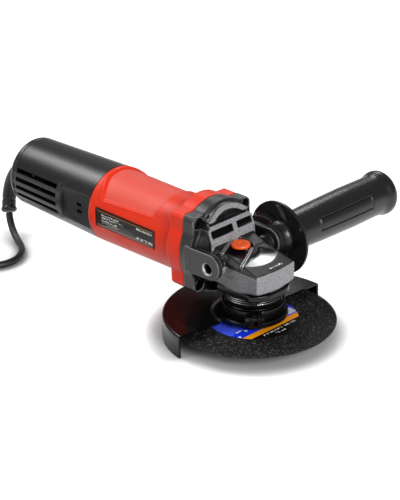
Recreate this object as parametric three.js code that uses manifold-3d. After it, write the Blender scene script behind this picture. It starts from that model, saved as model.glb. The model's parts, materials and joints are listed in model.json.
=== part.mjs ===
// Angle grinder for 125 mm discs, in millimetres.
// +X runs from the tail to the gear head, +Y towards the side handle, +Z up.
// The origin is the centre of the spindle's lower end face, level with the guard's rim.
import * as THREE from "three";
import { mergeVertices } from "three/addons/utils/BufferGeometryUtils.js";
import Module from "manifold-3d";

const wasm = await Module();
wasm.setup();

// ---------------------------------------------------------------- driving dimensions

const chordSag = 0.25; // how far a flat side of a round surface lies inside its circle
const runGap = 0.3; // radial clearance of round pieces in their seats
const screwSides = 8; // sides of the screws
const faceGap = 0.1; // clearance between faces that rest on each other

const motorAxisHeight = 61;

// spindle, from its lower end upwards
const threadRadius = 6.9;
const threadBelowNut = 2.8;
const nutHeight = 8;
const nutRadius = 19;
const discRadius = 62.5;
const discThickness = 1.2;
const discBoreRadius = 11.1;
const labelRadius = 33.5;
const flangeHeight = 5.4;
const flangeRadius = 19;
const flangePilotHeight = 0.8;
const spindleCollarRadius = 8.9;
const bearingJournalRadius = 7.4;
const gearSeatRadius = 4.2;
const topJournalRadius = 3;
const topJournalHeight = 4.4;

// gears: straight bevel teeth that all point at the crossing of the two axes
const pinionTeeth = 8;
const crownTeeth = 32;
const gearModule = 0.9;
const gearFace = 4;
const toothBacklash = 0.34;
const crownThickness = 6;
const crownRim = 0.9;

// bearing cover, the guard's neck and the guard
const neckRadius = 20;
const neckBottomHeight = 20;
const neckFloorThickness = 3;
const lowerBearingRadius = 17.3;
const lowerBearingWidth = 11;
const coverPlateThickness = 5;
const coverPlateRadius = 27.2;
const coverPlateHalfWidth = 21.4;
const headDepth = 18; // below the motor axis
const guardReach = 6.1; // past the disc's edge
const guardWall = 1.6;
const guardTopHeight = 18.2;
const guardShoulder = 1.6;
const guardNeckWall = 1.5;
const guardNeckTop = 29.4;
const guardDishRadius = 26.2;
const guardDishHeight = 2;
const guardStepRadius = 32.5; // the pressed step round the neck, on the covered half
const guardStepSlope = 3;
const guardEdgeBack = 3.6;
const guardEdgeTurn = -6;
const bandWall = 1.6;
const bandHeight = 7;
const bandTop = 28.6;
const bandLugAngle = -43;
const bandLugReach = 8.4;
const bandLugThickness = 3.2;
const bandSlit = 3.4;
const clampScrewRadius = 2;

// gear housing
const headFront = 24.3;
const headFrontHalfWidth = 20;
const headRear = -22;
const headRearHalfWidth = 24;
const headFrontRise = -1.4; // above the motor axis
const headRearRise = 10.4; // above the motor axis
const headShoulder = 4.2;
const gearCavityRadius = 16.4;
const gearCavityRise = -1.3; // above the motor axis
const drumRadius = 24.6;
const drumDrop = 9; // below the motor axis
const collarCentreRise = 1.4;
const collarRadius = 34.2;
const collarTopRadius = 36.6;
const collarHalfWidth = 30.3;
const collarHalfHeight = 30.8;
const collarChamfer = 3.2;
const collarJoint = -43.5;
const housingFlangeFront = -32;
const fanRoomRadius = 29.2;
const fanRoomFront = -33.2;
const archRadius = 29.2;
const archHalfWidth = 23.2;
const windowHalfSpan = 21.3;
const windowStemY = 3.6;
const windowStemWidth = 4.4;
const grilleBarDrop = 11.2; // from the arch's top to the bar's
const grilleBarHeight = 3.4;
const moonHalfSpan = 16.3;
const archSetIn = 2; // below the collar's top
const grilleBase = -20;
const grilleTopSetback = 8;
const grilleWall = 2.4;
const earFace = 34.4;
const earRadius = 10.2;
const earThickness = 5;
const handleBossRadius = 7.4;
const earCentreX = -12.2;
const earRise = 0.6; // above the motor axis
const handleAxisX = -14.1;
const handleAxisRise = -1.4; // above the motor axis
const handleThreadRadius = 3.9;
const handleThreadDepth = 12;
const housingScrewY = 24.6;
const housingScrewZ = 25.2;
const housingScrewRadius = 2.4;
const housingScrewHeadRadius = 4;
const housingScrewHeadHeight = 3.4;
const housingScrewLength = 18;

// spindle lock
const buttonX = -12.9;
const buttonRadius = 7.4;
const buttonRise = 8.8; // above the motor axis
const buttonThickness = 2.7;
const buttonTravel = 2;
const buttonChannelDepth = 1.5;
const pocketRise = 3.4; // above the motor axis
const pocketRear = -20.9;
const pocketFront = -3.6;
const pocketSide = 8.7;
const pocketMouth = -26;
const pinionHoodHalfWidth = 4.5;
const pinionHoodRise = 5.3; // above the motor axis
const lockPinRadius = 1.2;
const lockPinCircle = 6.9;
const lockHoles = 8;
const lockHoleDepth = 2.6;

// motor
const motorHousingRear = -148;
const tubeFrontRadius = 30;
const tubeRearRadius = 30.8;
const tubeWall = 2.5;
const gripPanelRear = -137;
const gripPanelFront = -79.5;
const gripPanelDepth = 1.2;
const gripPanelRise = 16.6; // its lower edge above the motor axis
const redCollarRear = -56.5;
const statorFront = -66;
const statorLength = 44;
const statorRadius = 26.6;
const statorFlat = 25.2;
const armatureRadius = 15.2;
const airGap = 0.7;
const windingOverhang = 8;
const windingRadius = 13.6;
const commutatorRadius = 10.5;
const commutatorFront = -122;
const commutatorLength = 15;
const shaftRadius = 4;
const shaftTipRadius = 1.5;
const motorBearingRadius = 9.5;
const motorBearingWidth = 6;
const motorBearingJournal = 3.4;
const frontBearingFront = -22.6;
const rearBearingFront = -149.5;
const fanRadius = 27.4;
const fanBlades = 14;
const fanHubRadius = 7;
const fanFront = -34.6;
const fanWidth = 11;
const fanPlate = 1.6;
const brushWidth = 6.4;
const brushThickness = 5;
const brushLength = 9;
const brushLift = 2.5;
const brushBoxWall = 1.1;

// rear cover, switch and cord
const tailEnd = -247.5;
const tailRadius = 28.2;
const coverWall = 2.4;
const ventPitch = 7.3;
const ventHeight = 3.8;
const ventFront = -188;
const ventRear = -238;
const ventCount = 4;
const sideFlat = 27.6;
const sideFlatHalfHeight = 12.9;
const clipWindowRear = -165;
const clipWindowLength = 5.6;
const clipWindowHeight = 2.8;
const clipWindowRises = [3.6, -2.8]; // their middles, above the motor axis
const switchCentreX = -178;
const switchLength = 30;
const switchHalfHeight = 9;
const switchInnerFace = -8;
const switchOuterFace = 18;
const sliderTravel = 6;
const sliderRear = -102;
const sliderLength = 27;
const sliderHalfHeight = 5.6;
const sliderTop = 34.2;
const sliderNeckLength = 15;
const sliderNeckHalfHeight = 2.6;
const linkThickness = 1.2;
const linkHalfHeight = 2.6;
const cordRadius = 3;
const gripStart = 42;

// side handle
const handleFlangeRadius = 29;
const handleFlangeThickness = 4.5;
const handleHubRadius = 10.5;
const gripNearRadius = 15.3;
const gripFarRadius = 16.5;
const gripRimRadius = 18.2;
const gripEnd = 162.8;
const studRadius = 3.7;
const studInGrip = 34;

// ---------------------------------------------------------------- values worked out from them

const guardRadius = discRadius + guardReach;
const headFrontTop = motorAxisHeight + headFrontRise;
const headRearTop = motorAxisHeight + headRearRise;
const gearCavityTop = motorAxisHeight + gearCavityRise;
const pocketFloor = motorAxisHeight + pocketRise;
const pinionHoodTop = motorAxisHeight + pinionHoodRise;
const buttonTop = motorAxisHeight + buttonRise;
const handleAxisZ = motorAxisHeight + handleAxisRise;
const earCentreZ = motorAxisHeight + earRise;
const headBottomHeight = motorAxisHeight - headDepth;
const drumTop = motorAxisHeight - drumDrop;
const collarCentreZ = motorAxisHeight + collarCentreRise;
const archTop = collarCentreZ + collarTopRadius - archSetIn;
const pinionPitch = (gearModule * pinionTeeth) / 2;
const crownPitch = (gearModule * crownTeeth) / 2;
const coneLength = Math.hypot(pinionPitch, crownPitch);
const innerShare = (coneLength - gearFace) / coneLength;
const addendum = 0.68 * gearModule;
const dedendum = 0.95 * gearModule;
const crownPitchHeight = motorAxisHeight - pinionPitch;
const hubTop = crownPitchHeight - 1.4;
const crownBack = hubTop - crownThickness;
const crownOuter = crownPitch + crownRim;
const discBottom = threadBelowNut + nutHeight + faceGap;
const discTop = discBottom + discThickness;
const flangeBottom = discTop + faceGap;
const flangeTop = flangeBottom + flangeHeight;
const lowerBearingTop = headBottomHeight - 1;
const lowerBearingBottom = lowerBearingTop - lowerBearingWidth;
const coverPlateBottom = headBottomHeight - coverPlateThickness;
const spindleTop = hubTop + 0.8 + topJournalHeight;
const buttonBottom = buttonTop - buttonThickness;
const linkInnerFace = statorFlat + 0.35;
const tubeInner = tubeFrontRadius - tubeWall;
const statorRear = statorFront - statorLength;
const commutatorRear = commutatorFront - commutatorLength;
const brushX = commutatorFront - commutatorLength / 2;
const rearBearingRear = rearBearingFront - motorBearingWidth;
const frontBearingRear = frontBearingFront - motorBearingWidth;
const guardNeckInner = neckRadius + runGap;
const guardNeckOuter = guardNeckInner + guardNeckWall;
const bandInner = guardNeckOuter + runGap;
const bandOuter = bandInner + bandWall;
const bandBottom = bandTop - bandHeight;
const topSlope = (headRearTop - headFrontTop) / (headFront - headRear);

// ---------------------------------------------------------------- solid-making tools

/** How many sides a circle needs so that its flats lie within the chord sag. */
function sidesFor(radius) {
  const half = Math.acos(1 - chordSag / Math.max(radius, 1));
  return Math.max(8, 4 * Math.ceil(Math.PI / half / 4));
}

/** A closed geometry as a solid that faces outwards. */
function solid(geometry) {
  const bare = geometry.index ? geometry.toNonIndexed() : geometry.clone();
  for (const name of Object.keys(bare.attributes)) {
    if (name !== "position") bare.deleteAttribute(name);
  }
  const merged = mergeVertices(bare, 1e-4);
  const kept = [];
  const index = merged.index.array;
  for (let i = 0; i < index.length; i += 3) {
    const [a, b, c] = [index[i], index[i + 1], index[i + 2]];
    if (a !== b && b !== c && c !== a) kept.push(a, b, c);
  }
  const build = (triangles) =>
    new wasm.Manifold(
      new wasm.Mesh({
        numProp: 3,
        vertProperties: merged.attributes.position.array,
        triVerts: new Uint32Array(triangles),
      }),
    );
  const made = build(kept);
  if (made.volume() >= 0) return made;
  for (let i = 0; i < kept.length; i += 3) {
    [kept[i + 1], kept[i + 2]] = [kept[i + 2], kept[i + 1]];
  }
  return build(kept);
}

const joined = (...solids) => solids.flat().reduce((a, b) => a.add(b));
const cut = (base, ...tools) => tools.flat().reduce((a, b) => a.subtract(b), base);
const radians = THREE.MathUtils.degToRad;

/** Maps a drawing in (u, v) with height w onto the row axes, for an axis x, y or z. */
const frames = {
  x: new THREE.Matrix4().makeBasis(
    new THREE.Vector3(0, 1, 0),
    new THREE.Vector3(0, 0, 1),
    new THREE.Vector3(1, 0, 0),
  ),
  y: new THREE.Matrix4().makeBasis(
    new THREE.Vector3(1, 0, 0),
    new THREE.Vector3(0, 0, 1),
    new THREE.Vector3(0, 1, 0),
  ),
  z: new THREE.Matrix4(),
};

/** A block between two opposite corners. */
function block(x0, x1, y0, y1, z0, z1) {
  const geometry = new THREE.BoxGeometry(x1 - x0, y1 - y0, z1 - z0);
  geometry.translate((x0 + x1) / 2, (y0 + y1) / 2, (z0 + z1) / 2);
  return solid(geometry);
}

/** An outline of [u, v] points carried along an axis; (u, v) is (y, z), (x, z) or (x, y). */
function prism(axis, outline, from, to) {
  const shape = new THREE.Shape(outline.map(([u, v]) => new THREE.Vector2(u, v)));
  const geometry = new THREE.ExtrudeGeometry(shape, {
    depth: to - from,
    bevelEnabled: false,
    curveSegments: 12,
  });
  geometry.translate(0, 0, from);
  geometry.applyMatrix4(frames[axis]);
  return solid(geometry);
}

/** A profile of [radius, height] points turned about an axis through (u, v). */
function turned(axis, profile, u = 0, v = 0, sides = 0) {
  const widest = Math.max(...profile.map(([r]) => r));
  const points = profile.map(([r, h]) => new THREE.Vector2(r, h));
  const geometry = new THREE.LatheGeometry(points, sides || sidesFor(widest));
  geometry.rotateX(Math.PI / 2);
  geometry.translate(u, v, 0);
  geometry.applyMatrix4(frames[axis]);
  return solid(geometry);
}

/** A ring or tube between two heights; an inner radius of 0 makes it a plain rod. */
function tube(axis, outer, inner, from, to, u = 0, v = 0) {
  if (inner <= 0) {
    return turned(axis, [[0, from], [outer, from], [outer, to], [0, to]], u, v);
  }
  const ring = [[inner, from], [outer, from], [outer, to], [inner, to], [inner, from]];
  return turned(axis, ring, u, v);
}

const rod = (axis, radius, from, to, u = 0, v = 0) => tube(axis, radius, 0, from, to, u, v);

/** A closed skin through sections that have the same number of points. */
function loft(sections) {
  const count = sections[0].length;
  const points = sections.flat();
  const faces = [];
  for (let s = 0; s + 1 < sections.length; s += 1) {
    for (let i = 0; i < count; i += 1) {
      const j = (i + 1) % count;
      const [a, b, c, d] = [s * count + i, s * count + j, (s + 1) * count + j, (s + 1) * count + i];
      faces.push(a, b, c, a, c, d);
    }
  }
  for (const [first, flip] of [[0, true], [(sections.length - 1) * count, false]]) {
    const end = sections[first / count];
    const centre = end.reduce((sum, p) => sum.add(p), new THREE.Vector3()).divideScalar(count);
    const hub = points.push(centre) - 1;
    for (let i = 0; i < count; i += 1) {
      const [a, b] = [first + i, first + ((i + 1) % count)];
      faces.push(hub, ...(flip ? [b, a] : [a, b]));
    }
  }
  const geometry = new THREE.BufferGeometry().setFromPoints(points);
  geometry.setIndex(faces);
  return solid(geometry);
}

/** A round section carried along a curve, its radius a function of the share of length. */
function swept(curve, radiusAt, sides, steps) {
  const { normals, binormals } = curve.computeFrenetFrames(steps, false);
  const sections = [];
  for (let s = 0; s <= steps; s += 1) {
    const centre = curve.getPointAt(s / steps);
    const radius = radiusAt(s / steps);
    const ring = [];
    for (let i = 0; i < sides; i += 1) {
      const angle = (2 * Math.PI * i) / sides;
      ring.push(
        centre
          .clone()
          .addScaledVector(normals[s], radius * Math.cos(angle))
          .addScaledVector(binormals[s], radius * Math.sin(angle)),
      );
    }
    sections.push(ring);
  }
  return loft(sections);
}

/** Points of an arc about (u, v), from one angle to another in degrees. */
function arc(u, v, radius, from, to, steps) {
  const points = [];
  for (let i = 0; i <= steps; i += 1) {
    const angle = radians(from + ((to - from) * i) / steps);
    points.push([u + radius * Math.cos(angle), v + radius * Math.sin(angle)]);
  }
  return points;
}

/** Copies of a solid spaced evenly round the spindle axis or the motor axis. */
function around(axis, count, make) {
  const copies = [];
  for (let i = 0; i < count; i += 1) {
    const angle = (360 * i) / count;
    const one = make(i);
    copies.push(
      axis === "z"
        ? one.rotate([0, 0, angle])
        : one
            .translate([0, 0, -motorAxisHeight])
            .rotate([angle, 0, 0])
            .translate([0, 0, motorAxisHeight]),
    );
  }
  return copies;
}

// ---------------------------------------------------------------- finishes and the scene graph

const finish = (color, roughness, metalness) =>
  new THREE.MeshStandardMaterial({ color, roughness, metalness });

const finishes = {
  redNylon: () => finish("#e23a1f", 0.42, 0),
  blackNylon: () => finish("#1e1f20", 0.45, 0),
  softBlack: () => finish("#17181a", 0.75, 0),
  castPainted: () => finish("#36383a", 0.5, 0.3),
  steel: () => finish("#a9abad", 0.35, 0.9),
  blackSteel: () => finish("#2b2c2e", 0.4, 0.7),
  paintedSteel: () => finish("#141516", 0.5, 0.3),
  copper: () => finish("#b8703c", 0.35, 0.9),
  laminations: () => finish("#6d7073", 0.5, 0.8),
  bronze: () => finish("#a88546", 0.45, 0.8),
  brass: () => finish("#c4a35a", 0.35, 0.9),
  carbon: () => finish("#2a2a2b", 0.7, 0.2),
  orangeNylon: () => finish("#f4551c", 0.4, 0),
  abrasive: () => finish("#2e2c2b", 0.95, 0),
  insulator: () => finish("#d8d2c0", 0.6, 0),
  label: () => finish("#151515", 0.5, 0),
  rubber: () => finish("#161616", 0.8, 0),
};

const grinder = new THREE.Group();

/** Adds one piece to the scene graph. */
function piece(name, made, finishName) {
  const { vertProperties, triVerts } = made.getMesh();
  const geometry = new THREE.BufferGeometry();
  geometry.setAttribute("position", new THREE.BufferAttribute(vertProperties, 3));
  geometry.setIndex(new THREE.BufferAttribute(triVerts, 1));
  geometry.computeVertexNormals();
  const mesh = new THREE.Mesh(geometry, finishes[finishName]());
  mesh.name = name;
  grinder.add(mesh);
}

// ---------------------------------------------------------------- the disc end of the spindle

piece(
  "spindle",
  turned("z", [
    [0, 0],
    [threadRadius - 1, 0],
    [threadRadius, 1],
    [threadRadius, flangeTop + faceGap],
    [spindleCollarRadius, flangeTop + faceGap],
    [spindleCollarRadius, lowerBearingBottom - faceGap],
    [bearingJournalRadius, lowerBearingBottom - faceGap],
    [bearingJournalRadius, crownBack - faceGap],
    [gearSeatRadius, crownBack - faceGap],
    [gearSeatRadius, hubTop + faceGap],
    [topJournalRadius, hubTop + faceGap],
    [topJournalRadius, spindleTop - 0.6],
    [topJournalRadius - 0.6, spindleTop],
    [0, spindleTop],
  ]),
  "steel",
);

piece(
  "inner_flange",
  turned("z", [
    [threadRadius + runGap, discTop - flangePilotHeight],
    [discBoreRadius - runGap, discTop - flangePilotHeight],
    [discBoreRadius - runGap, flangeBottom + 0.5],
    [flangeRadius - 4, flangeBottom + 0.5],
    [flangeRadius - 4, flangeBottom],
    [flangeRadius, flangeBottom],
    [flangeRadius, flangeBottom + 2.6],
    [threadRadius + 5, flangeTop],
    [threadRadius + runGap, flangeTop],
    [threadRadius + runGap, discTop - flangePilotHeight],
  ]),
  "steel",
);

piece("cutting_disc", tube("z", discRadius, discBoreRadius, discBottom, discTop), "abrasive");

const spannerHoleCircle = nutRadius - 4;
const spannerHoleRadius = 2.2;
piece(
  "flange_nut",
  cut(
    turned("z", [
      [threadRadius + runGap, threadBelowNut],
      [threadRadius + 4.5, threadBelowNut],
      [threadRadius + 4.5, threadBelowNut + 3],
      [nutRadius, threadBelowNut + 3],
      [nutRadius, threadBelowNut + nutHeight],
      [nutRadius - 4, threadBelowNut + nutHeight],
      [nutRadius - 4, threadBelowNut + nutHeight - 0.6],
      [threadRadius + runGap, threadBelowNut + nutHeight - 0.6],
      [threadRadius + runGap, threadBelowNut],
    ]),
    around("z", 2, () =>
      rod("z", spannerHoleRadius, threadBelowNut + 1, threadBelowNut + nutHeight - 2,
        spannerHoleCircle, 0)),
  ),
  "steel",
);

// ---------------------------------------------------------------- bevel gears

/** A point of the crown's teeth: how far above the pitch cone, how wide, at which share. */
function crownPoint(above, halfWidth, share) {
  const lean = above / coneLength;
  return new THREE.Vector3(
    share * (-crownPitch - lean * pinionPitch),
    share * halfWidth,
    motorAxisHeight - share * (pinionPitch - lean * crownPitch),
  );
}

/** The same for the pinion, whose teeth stand away from the motor axis. */
function pinionPoint(above, halfWidth, share) {
  const lean = above / coneLength;
  return new THREE.Vector3(
    share * (-crownPitch + lean * pinionPitch),
    share * halfWidth,
    motorAxisHeight - share * (pinionPitch + lean * crownPitch),
  );
}

const flankSlope = Math.tan(radians(20));
const toothHalfWidth = (Math.PI * gearModule) / 4 - toothBacklash / 2;

/** One straight bevel tooth as a loft between its outer and inner end. */
function tooth(pointAt, sunk) {
  const section = (share) =>
    [
      [-dedendum - sunk, 1],
      [-dedendum - sunk, -1],
      [addendum, -1],
      [addendum, 1],
    ].map(([above, side]) =>
      pointAt(above, side * (toothHalfWidth - above * flankSlope), share));
  return loft([section(1), section(innerShare)]);
}

const crownRootOuter = crownPoint(-dedendum, 0, 1);
const crownRootInner = crownPoint(-dedendum, 0, innerShare);
const lockHoleBottom = hubTop - lockHoleDepth;
piece(
  "crown_gear",
  cut(
    joined(
      turned("z", [
        [gearSeatRadius + runGap, crownBack],
        [crownOuter - 1.5, crownBack],
        [crownOuter, crownBack + 1.5],
        [crownOuter, crownRootOuter.z - 0.3],
        [-crownRootOuter.x, crownRootOuter.z],
        [-crownRootInner.x, crownRootInner.z],
        [-crownRootInner.x, hubTop],
        [gearSeatRadius + runGap, hubTop],
        [gearSeatRadius + runGap, crownBack],
      ], 0, 0, crownTeeth),
      around("z", crownTeeth, () => tooth(crownPoint, 0.3)).map((t) =>
        t.rotate([0, 0, 180 / crownTeeth])),
    ),
    around("z", lockHoles, () =>
      rod("z", lockPinRadius + runGap, lockHoleBottom, hubTop + 1, -lockPinCircle, 0)),
  ),
  "steel",
);

const pinionRootOuter = pinionPoint(-dedendum, 0, 1);
const pinionRootInner = pinionPoint(-dedendum, 0, innerShare);
const pinionRootRadius = motorAxisHeight - pinionRootOuter.z;
const pinionBore = shaftTipRadius + runGap / 2;
const pinionBack = pinionRootOuter.x - 0.8;
const pinionBoreEnd = pinionRootInner.x - 1.2;
piece(
  "pinion",
  joined(
    turned("x", [
      [pinionBore, pinionBack],
      [pinionRootRadius, pinionBack],
      [pinionRootRadius, pinionRootOuter.x],
      [motorAxisHeight - pinionRootInner.z, pinionRootInner.x],
      [0, pinionRootInner.x],
      [0, pinionBoreEnd],
      [pinionBore, pinionBoreEnd],
      [pinionBore, pinionBack],
    ], 0, motorAxisHeight, 16),
    around("x", pinionTeeth, () => tooth(pinionPoint, 0.25)),
  ),
  "steel",
);

// ---------------------------------------------------------------- armature

const shaftTipFront = pinionBoreEnd - runGap;
piece(
  "armature_shaft",
  turned("x", [
    [0, rearBearingRear + 0.5],
    [motorBearingJournal, rearBearingRear + 0.5],
    [motorBearingJournal, rearBearingFront + faceGap],
    [shaftRadius, rearBearingFront + faceGap],
    [shaftRadius, frontBearingRear - faceGap],
    [motorBearingJournal, frontBearingRear - faceGap],
    [motorBearingJournal, frontBearingFront],
    [pinionRootRadius - 0.2, frontBearingFront],
    [pinionRootRadius - 0.2, pinionBack - faceGap],
    [shaftTipRadius, pinionBack - faceGap],
    [shaftTipRadius, shaftTipFront],
    [0, shaftTipFront],
  ], 0, motorAxisHeight),
  "steel",
);

const slotCount = 10;
const slotDepth = 6;
const slotWidth = 3;
piece(
  "armature_core",
  cut(
    tube("x", armatureRadius, shaftRadius + runGap, statorRear, statorFront, 0, motorAxisHeight),
    around("x", slotCount, () =>
      block(statorRear - 1, statorFront + 1, -slotWidth / 2, slotWidth / 2,
        motorAxisHeight + armatureRadius - slotDepth, motorAxisHeight + armatureRadius + 1)),
  ),
  "laminations",
);

const wireGap = 0.3;

/** The bundle of copper beside one end of the core. */
function windingEnd(from, to) {
  return turned("x", [
    [shaftRadius + runGap, from],
    [windingRadius - 3, from],
    [windingRadius, from + 3],
    [windingRadius, to - 3],
    [windingRadius - 1, to],
    [shaftRadius + runGap, to],
    [shaftRadius + runGap, from],
  ], 0, motorAxisHeight);
}
piece(
  "armature_winding",
  joined(
    windingEnd(statorRear - windingOverhang, statorRear - wireGap),
    windingEnd(statorFront + wireGap, statorFront + windingOverhang - 1),
    around("x", slotCount, () =>
      block(statorRear - 2, statorFront + 2, -slotWidth / 2 + wireGap, slotWidth / 2 - wireGap,
        motorAxisHeight + armatureRadius - slotDepth + wireGap,
        motorAxisHeight + windingRadius - 0.8)),
  ),
  "copper",
);

const segmentGaps = 14;
piece(
  "commutator",
  cut(
    tube("x", commutatorRadius, shaftRadius + runGap, commutatorRear, commutatorFront,
      0, motorAxisHeight),
    around("x", segmentGaps, () =>
      block(commutatorRear - 1, commutatorFront - 2, -0.3, 0.3,
        motorAxisHeight + commutatorRadius - 0.8, motorAxisHeight + commutatorRadius + 1)),
  ),
  "copper",
);

const fanBack = fanFront - fanWidth;
piece(
  "cooling_fan",
  joined(
    tube("x", fanRadius, shaftRadius + runGap, fanFront - fanPlate, fanFront, 0, motorAxisHeight),
    tube("x", fanHubRadius, shaftRadius + runGap, fanBack, fanFront - fanPlate + 0.2,
      0, motorAxisHeight),
    around("x", fanBlades, () =>
      block(fanBack, fanFront - fanPlate + 0.2, -0.8, 0.8,
        motorAxisHeight + fanHubRadius - 1, motorAxisHeight + fanRadius - 0.6)),
  ),
  "blackNylon",
);

/** A ball bearing as one ring, its end faces dished between the two races. */
function bearing(name, axis, outer, inner, from, to, u, v) {
  const middle = (outer + inner) / 2;
  const dip = 0.6;
  piece(
    name,
    turned(axis, [
      [inner, from],
      [middle, from + dip],
      [outer, from],
      [outer, to],
      [middle, to - dip],
      [inner, to],
      [inner, from],
    ], u, v),
    "steel",
  );
}
bearing("front_motor_bearing", "x", motorBearingRadius, motorBearingJournal + runGap,
  frontBearingRear, frontBearingFront - faceGap, 0, motorAxisHeight);
bearing("rear_motor_bearing", "x", motorBearingRadius, motorBearingJournal + runGap,
  rearBearingRear, rearBearingFront, 0, motorAxisHeight);
bearing("spindle_bearing", "z", lowerBearingRadius, bearingJournalRadius + runGap,
  lowerBearingBottom, lowerBearingTop, 0, 0);

// ---------------------------------------------------------------- bearing cover and its screws

const coverScrewPlace = (coverPlateRadius - 3.7) / Math.SQRT2;
const coverScrewRadius = 1.9;
const coverScrewHeadRadius = 3.2;
const coverScrewHeadHeight = 2.6;
const coverScrewDepth = 7;
const coverScrewSpots = [
  [coverScrewPlace, coverScrewPlace],
  [coverScrewPlace, -coverScrewPlace],
  [-coverScrewPlace, coverScrewPlace],
  [-coverScrewPlace, -coverScrewPlace],
];
const sealLip = spindleCollarRadius + runGap;
piece(
  "bearing_cover",
  cut(
    joined(
      turned("z", [
        [sealLip, neckBottomHeight],
        [neckRadius - 0.8, neckBottomHeight],
        [neckRadius, neckBottomHeight + 0.8],
        [neckRadius, coverPlateBottom + 1],
        [lowerBearingRadius + runGap, coverPlateBottom + 1],
        [lowerBearingRadius + runGap, lowerBearingBottom - faceGap],
        [lowerBearingRadius - 3, lowerBearingBottom - faceGap],
        [lowerBearingRadius - 3, neckBottomHeight + neckFloorThickness],
        [sealLip, neckBottomHeight + neckFloorThickness],
        [sealLip, neckBottomHeight],
      ]),
      tube("z", coverPlateRadius, lowerBearingRadius + runGap, coverPlateBottom,
        headBottomHeight - faceGap)
        .intersect(block(-coverPlateRadius - 1, headFront + 1.4,
          -coverPlateHalfWidth, coverPlateHalfWidth, 0, motorAxisHeight)),
    ),
    coverScrewSpots.map(([x, y]) =>
      rod("z", coverScrewRadius + runGap, coverPlateBottom - 1, headBottomHeight + 1, x, y)),
  ),
  "castPainted",
);

coverScrewSpots.forEach(([x, y], i) => {
  piece(
    `bearing_cover_screw_${i + 1}`,
    turned("z", [
      [0, coverPlateBottom - faceGap - coverScrewHeadHeight],
      [coverScrewHeadRadius, coverPlateBottom - faceGap - coverScrewHeadHeight],
      [coverScrewHeadRadius, coverPlateBottom - faceGap],
      [coverScrewRadius, coverPlateBottom - faceGap],
      [coverScrewRadius, headBottomHeight + coverScrewDepth],
      [0, headBottomHeight + coverScrewDepth],
    ], x, y, screwSides),
    "blackSteel",
  );
});

// ---------------------------------------------------------------- guard and its clamp

const guardInside = guardRadius - guardWall;
const guardPlateBottom = guardTopHeight - guardWall;
const tailHalf = block(-guardRadius - 5, -guardEdgeBack, -guardRadius - 5, guardRadius + 5, -1,
  motorAxisHeight).rotate([0, 0, guardEdgeTurn]);
const guardShell = turned("z", [
  [guardNeckInner + 1, guardPlateBottom],
  [guardInside - guardShoulder, guardPlateBottom],
  [guardInside, guardPlateBottom - guardShoulder],
  [guardInside, 0],
  [guardRadius, 0],
  [guardRadius, guardPlateBottom - guardShoulder + 0.6],
  [guardRadius - guardShoulder - 0.6, guardTopHeight],
  [guardNeckInner + 1, guardTopHeight],
  [guardNeckInner + 1, guardPlateBottom],
]).intersect(tailHalf);
const guardDish = turned("z", [
  [guardNeckInner, guardPlateBottom],
  [guardDishRadius, guardPlateBottom],
  [guardDishRadius, guardTopHeight + guardDishHeight - 1],
  [guardDishRadius - 1, guardTopHeight + guardDishHeight],
  [guardNeckOuter, guardTopHeight + guardDishHeight],
  [guardNeckOuter, guardNeckTop],
  [guardNeckInner, guardNeckTop],
  [guardNeckInner, guardPlateBottom],
]);
const guardStep = turned("z", [
  [guardNeckInner + 1, guardPlateBottom],
  [guardStepRadius, guardPlateBottom],
  [guardStepRadius, guardTopHeight],
  [guardStepRadius - guardStepSlope, guardTopHeight + guardDishHeight],
  [guardNeckInner + 1, guardTopHeight + guardDishHeight],
  [guardNeckInner + 1, guardPlateBottom],
]).intersect(tailHalf);
piece("guard", joined(guardShell, guardStep, guardDish), "paintedSteel");

const lugOuter = bandOuter + bandLugReach;
const lugHole = (bandOuter + lugOuter) / 2 + 0.6;
const lugMid = (bandTop + bandBottom) / 2;
const inLugFrame = (made) => made.rotate([0, 0, bandLugAngle]);
piece(
  "clamp_band",
  inLugFrame(
    cut(
      joined(
        tube("z", bandOuter, bandInner, bandBottom, bandTop),
        block(bandOuter - 1, lugOuter, -bandSlit / 2 - bandLugThickness,
          bandSlit / 2 + bandLugThickness, bandBottom, bandTop),
      ),
      block(bandInner - 2, lugOuter + 1, -bandSlit / 2, bandSlit / 2, bandBottom - 1, bandTop + 1),
      rod("y", clampScrewRadius + runGap, -lugOuter, lugOuter, lugHole, lugMid)
        .intersect(block(bandOuter, lugOuter + 1, -lugOuter, lugOuter, 0, motorAxisHeight)),
      rod("z", bandInner, bandBottom - 1, bandTop + 1),
    ),
  ),
  "paintedSteel",
);

const lugFace = bandSlit / 2 + bandLugThickness;
const clampHeadRadius = 3.3;
piece(
  "clamp_screw",
  inLugFrame(
    turned("y", [
      [0, -lugFace - faceGap - 3],
      [clampHeadRadius, -lugFace - faceGap - 3],
      [clampHeadRadius, -lugFace - faceGap],
      [clampScrewRadius, -lugFace - faceGap],
      [clampScrewRadius, lugFace + 1.6],
      [0, lugFace + 1.6],
    ], lugHole, lugMid, screwSides),
  ),
  "steel",
);

// ---------------------------------------------------------------- collar outline and gear housing

/** The collar's outline: bulging sides, a higher arched top, and four square corner lobes. */
function collarOutline(inset) {
  const points = [];
  const steps = 48;
  for (let i = 0; i < steps; i += 1) {
    const angle = (2 * Math.PI * i) / steps;
    const [c, s] = [Math.abs(Math.cos(angle)), Math.abs(Math.sin(angle))];
    const oval = 1 / Math.hypot(c / collarRadius, s / collarTopRadius);
    const square = Math.min(
      collarHalfWidth / Math.max(c, 1e-9),
      collarHalfHeight / Math.max(s, 1e-9),
      (collarHalfWidth + collarHalfHeight - collarChamfer) / (c + s),
    );
    const reach = Math.max(oval, square) - inset;
    points.push([reach * Math.cos(angle), collarCentreZ + reach * Math.sin(angle)]);
  }
  return points;
}

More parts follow.
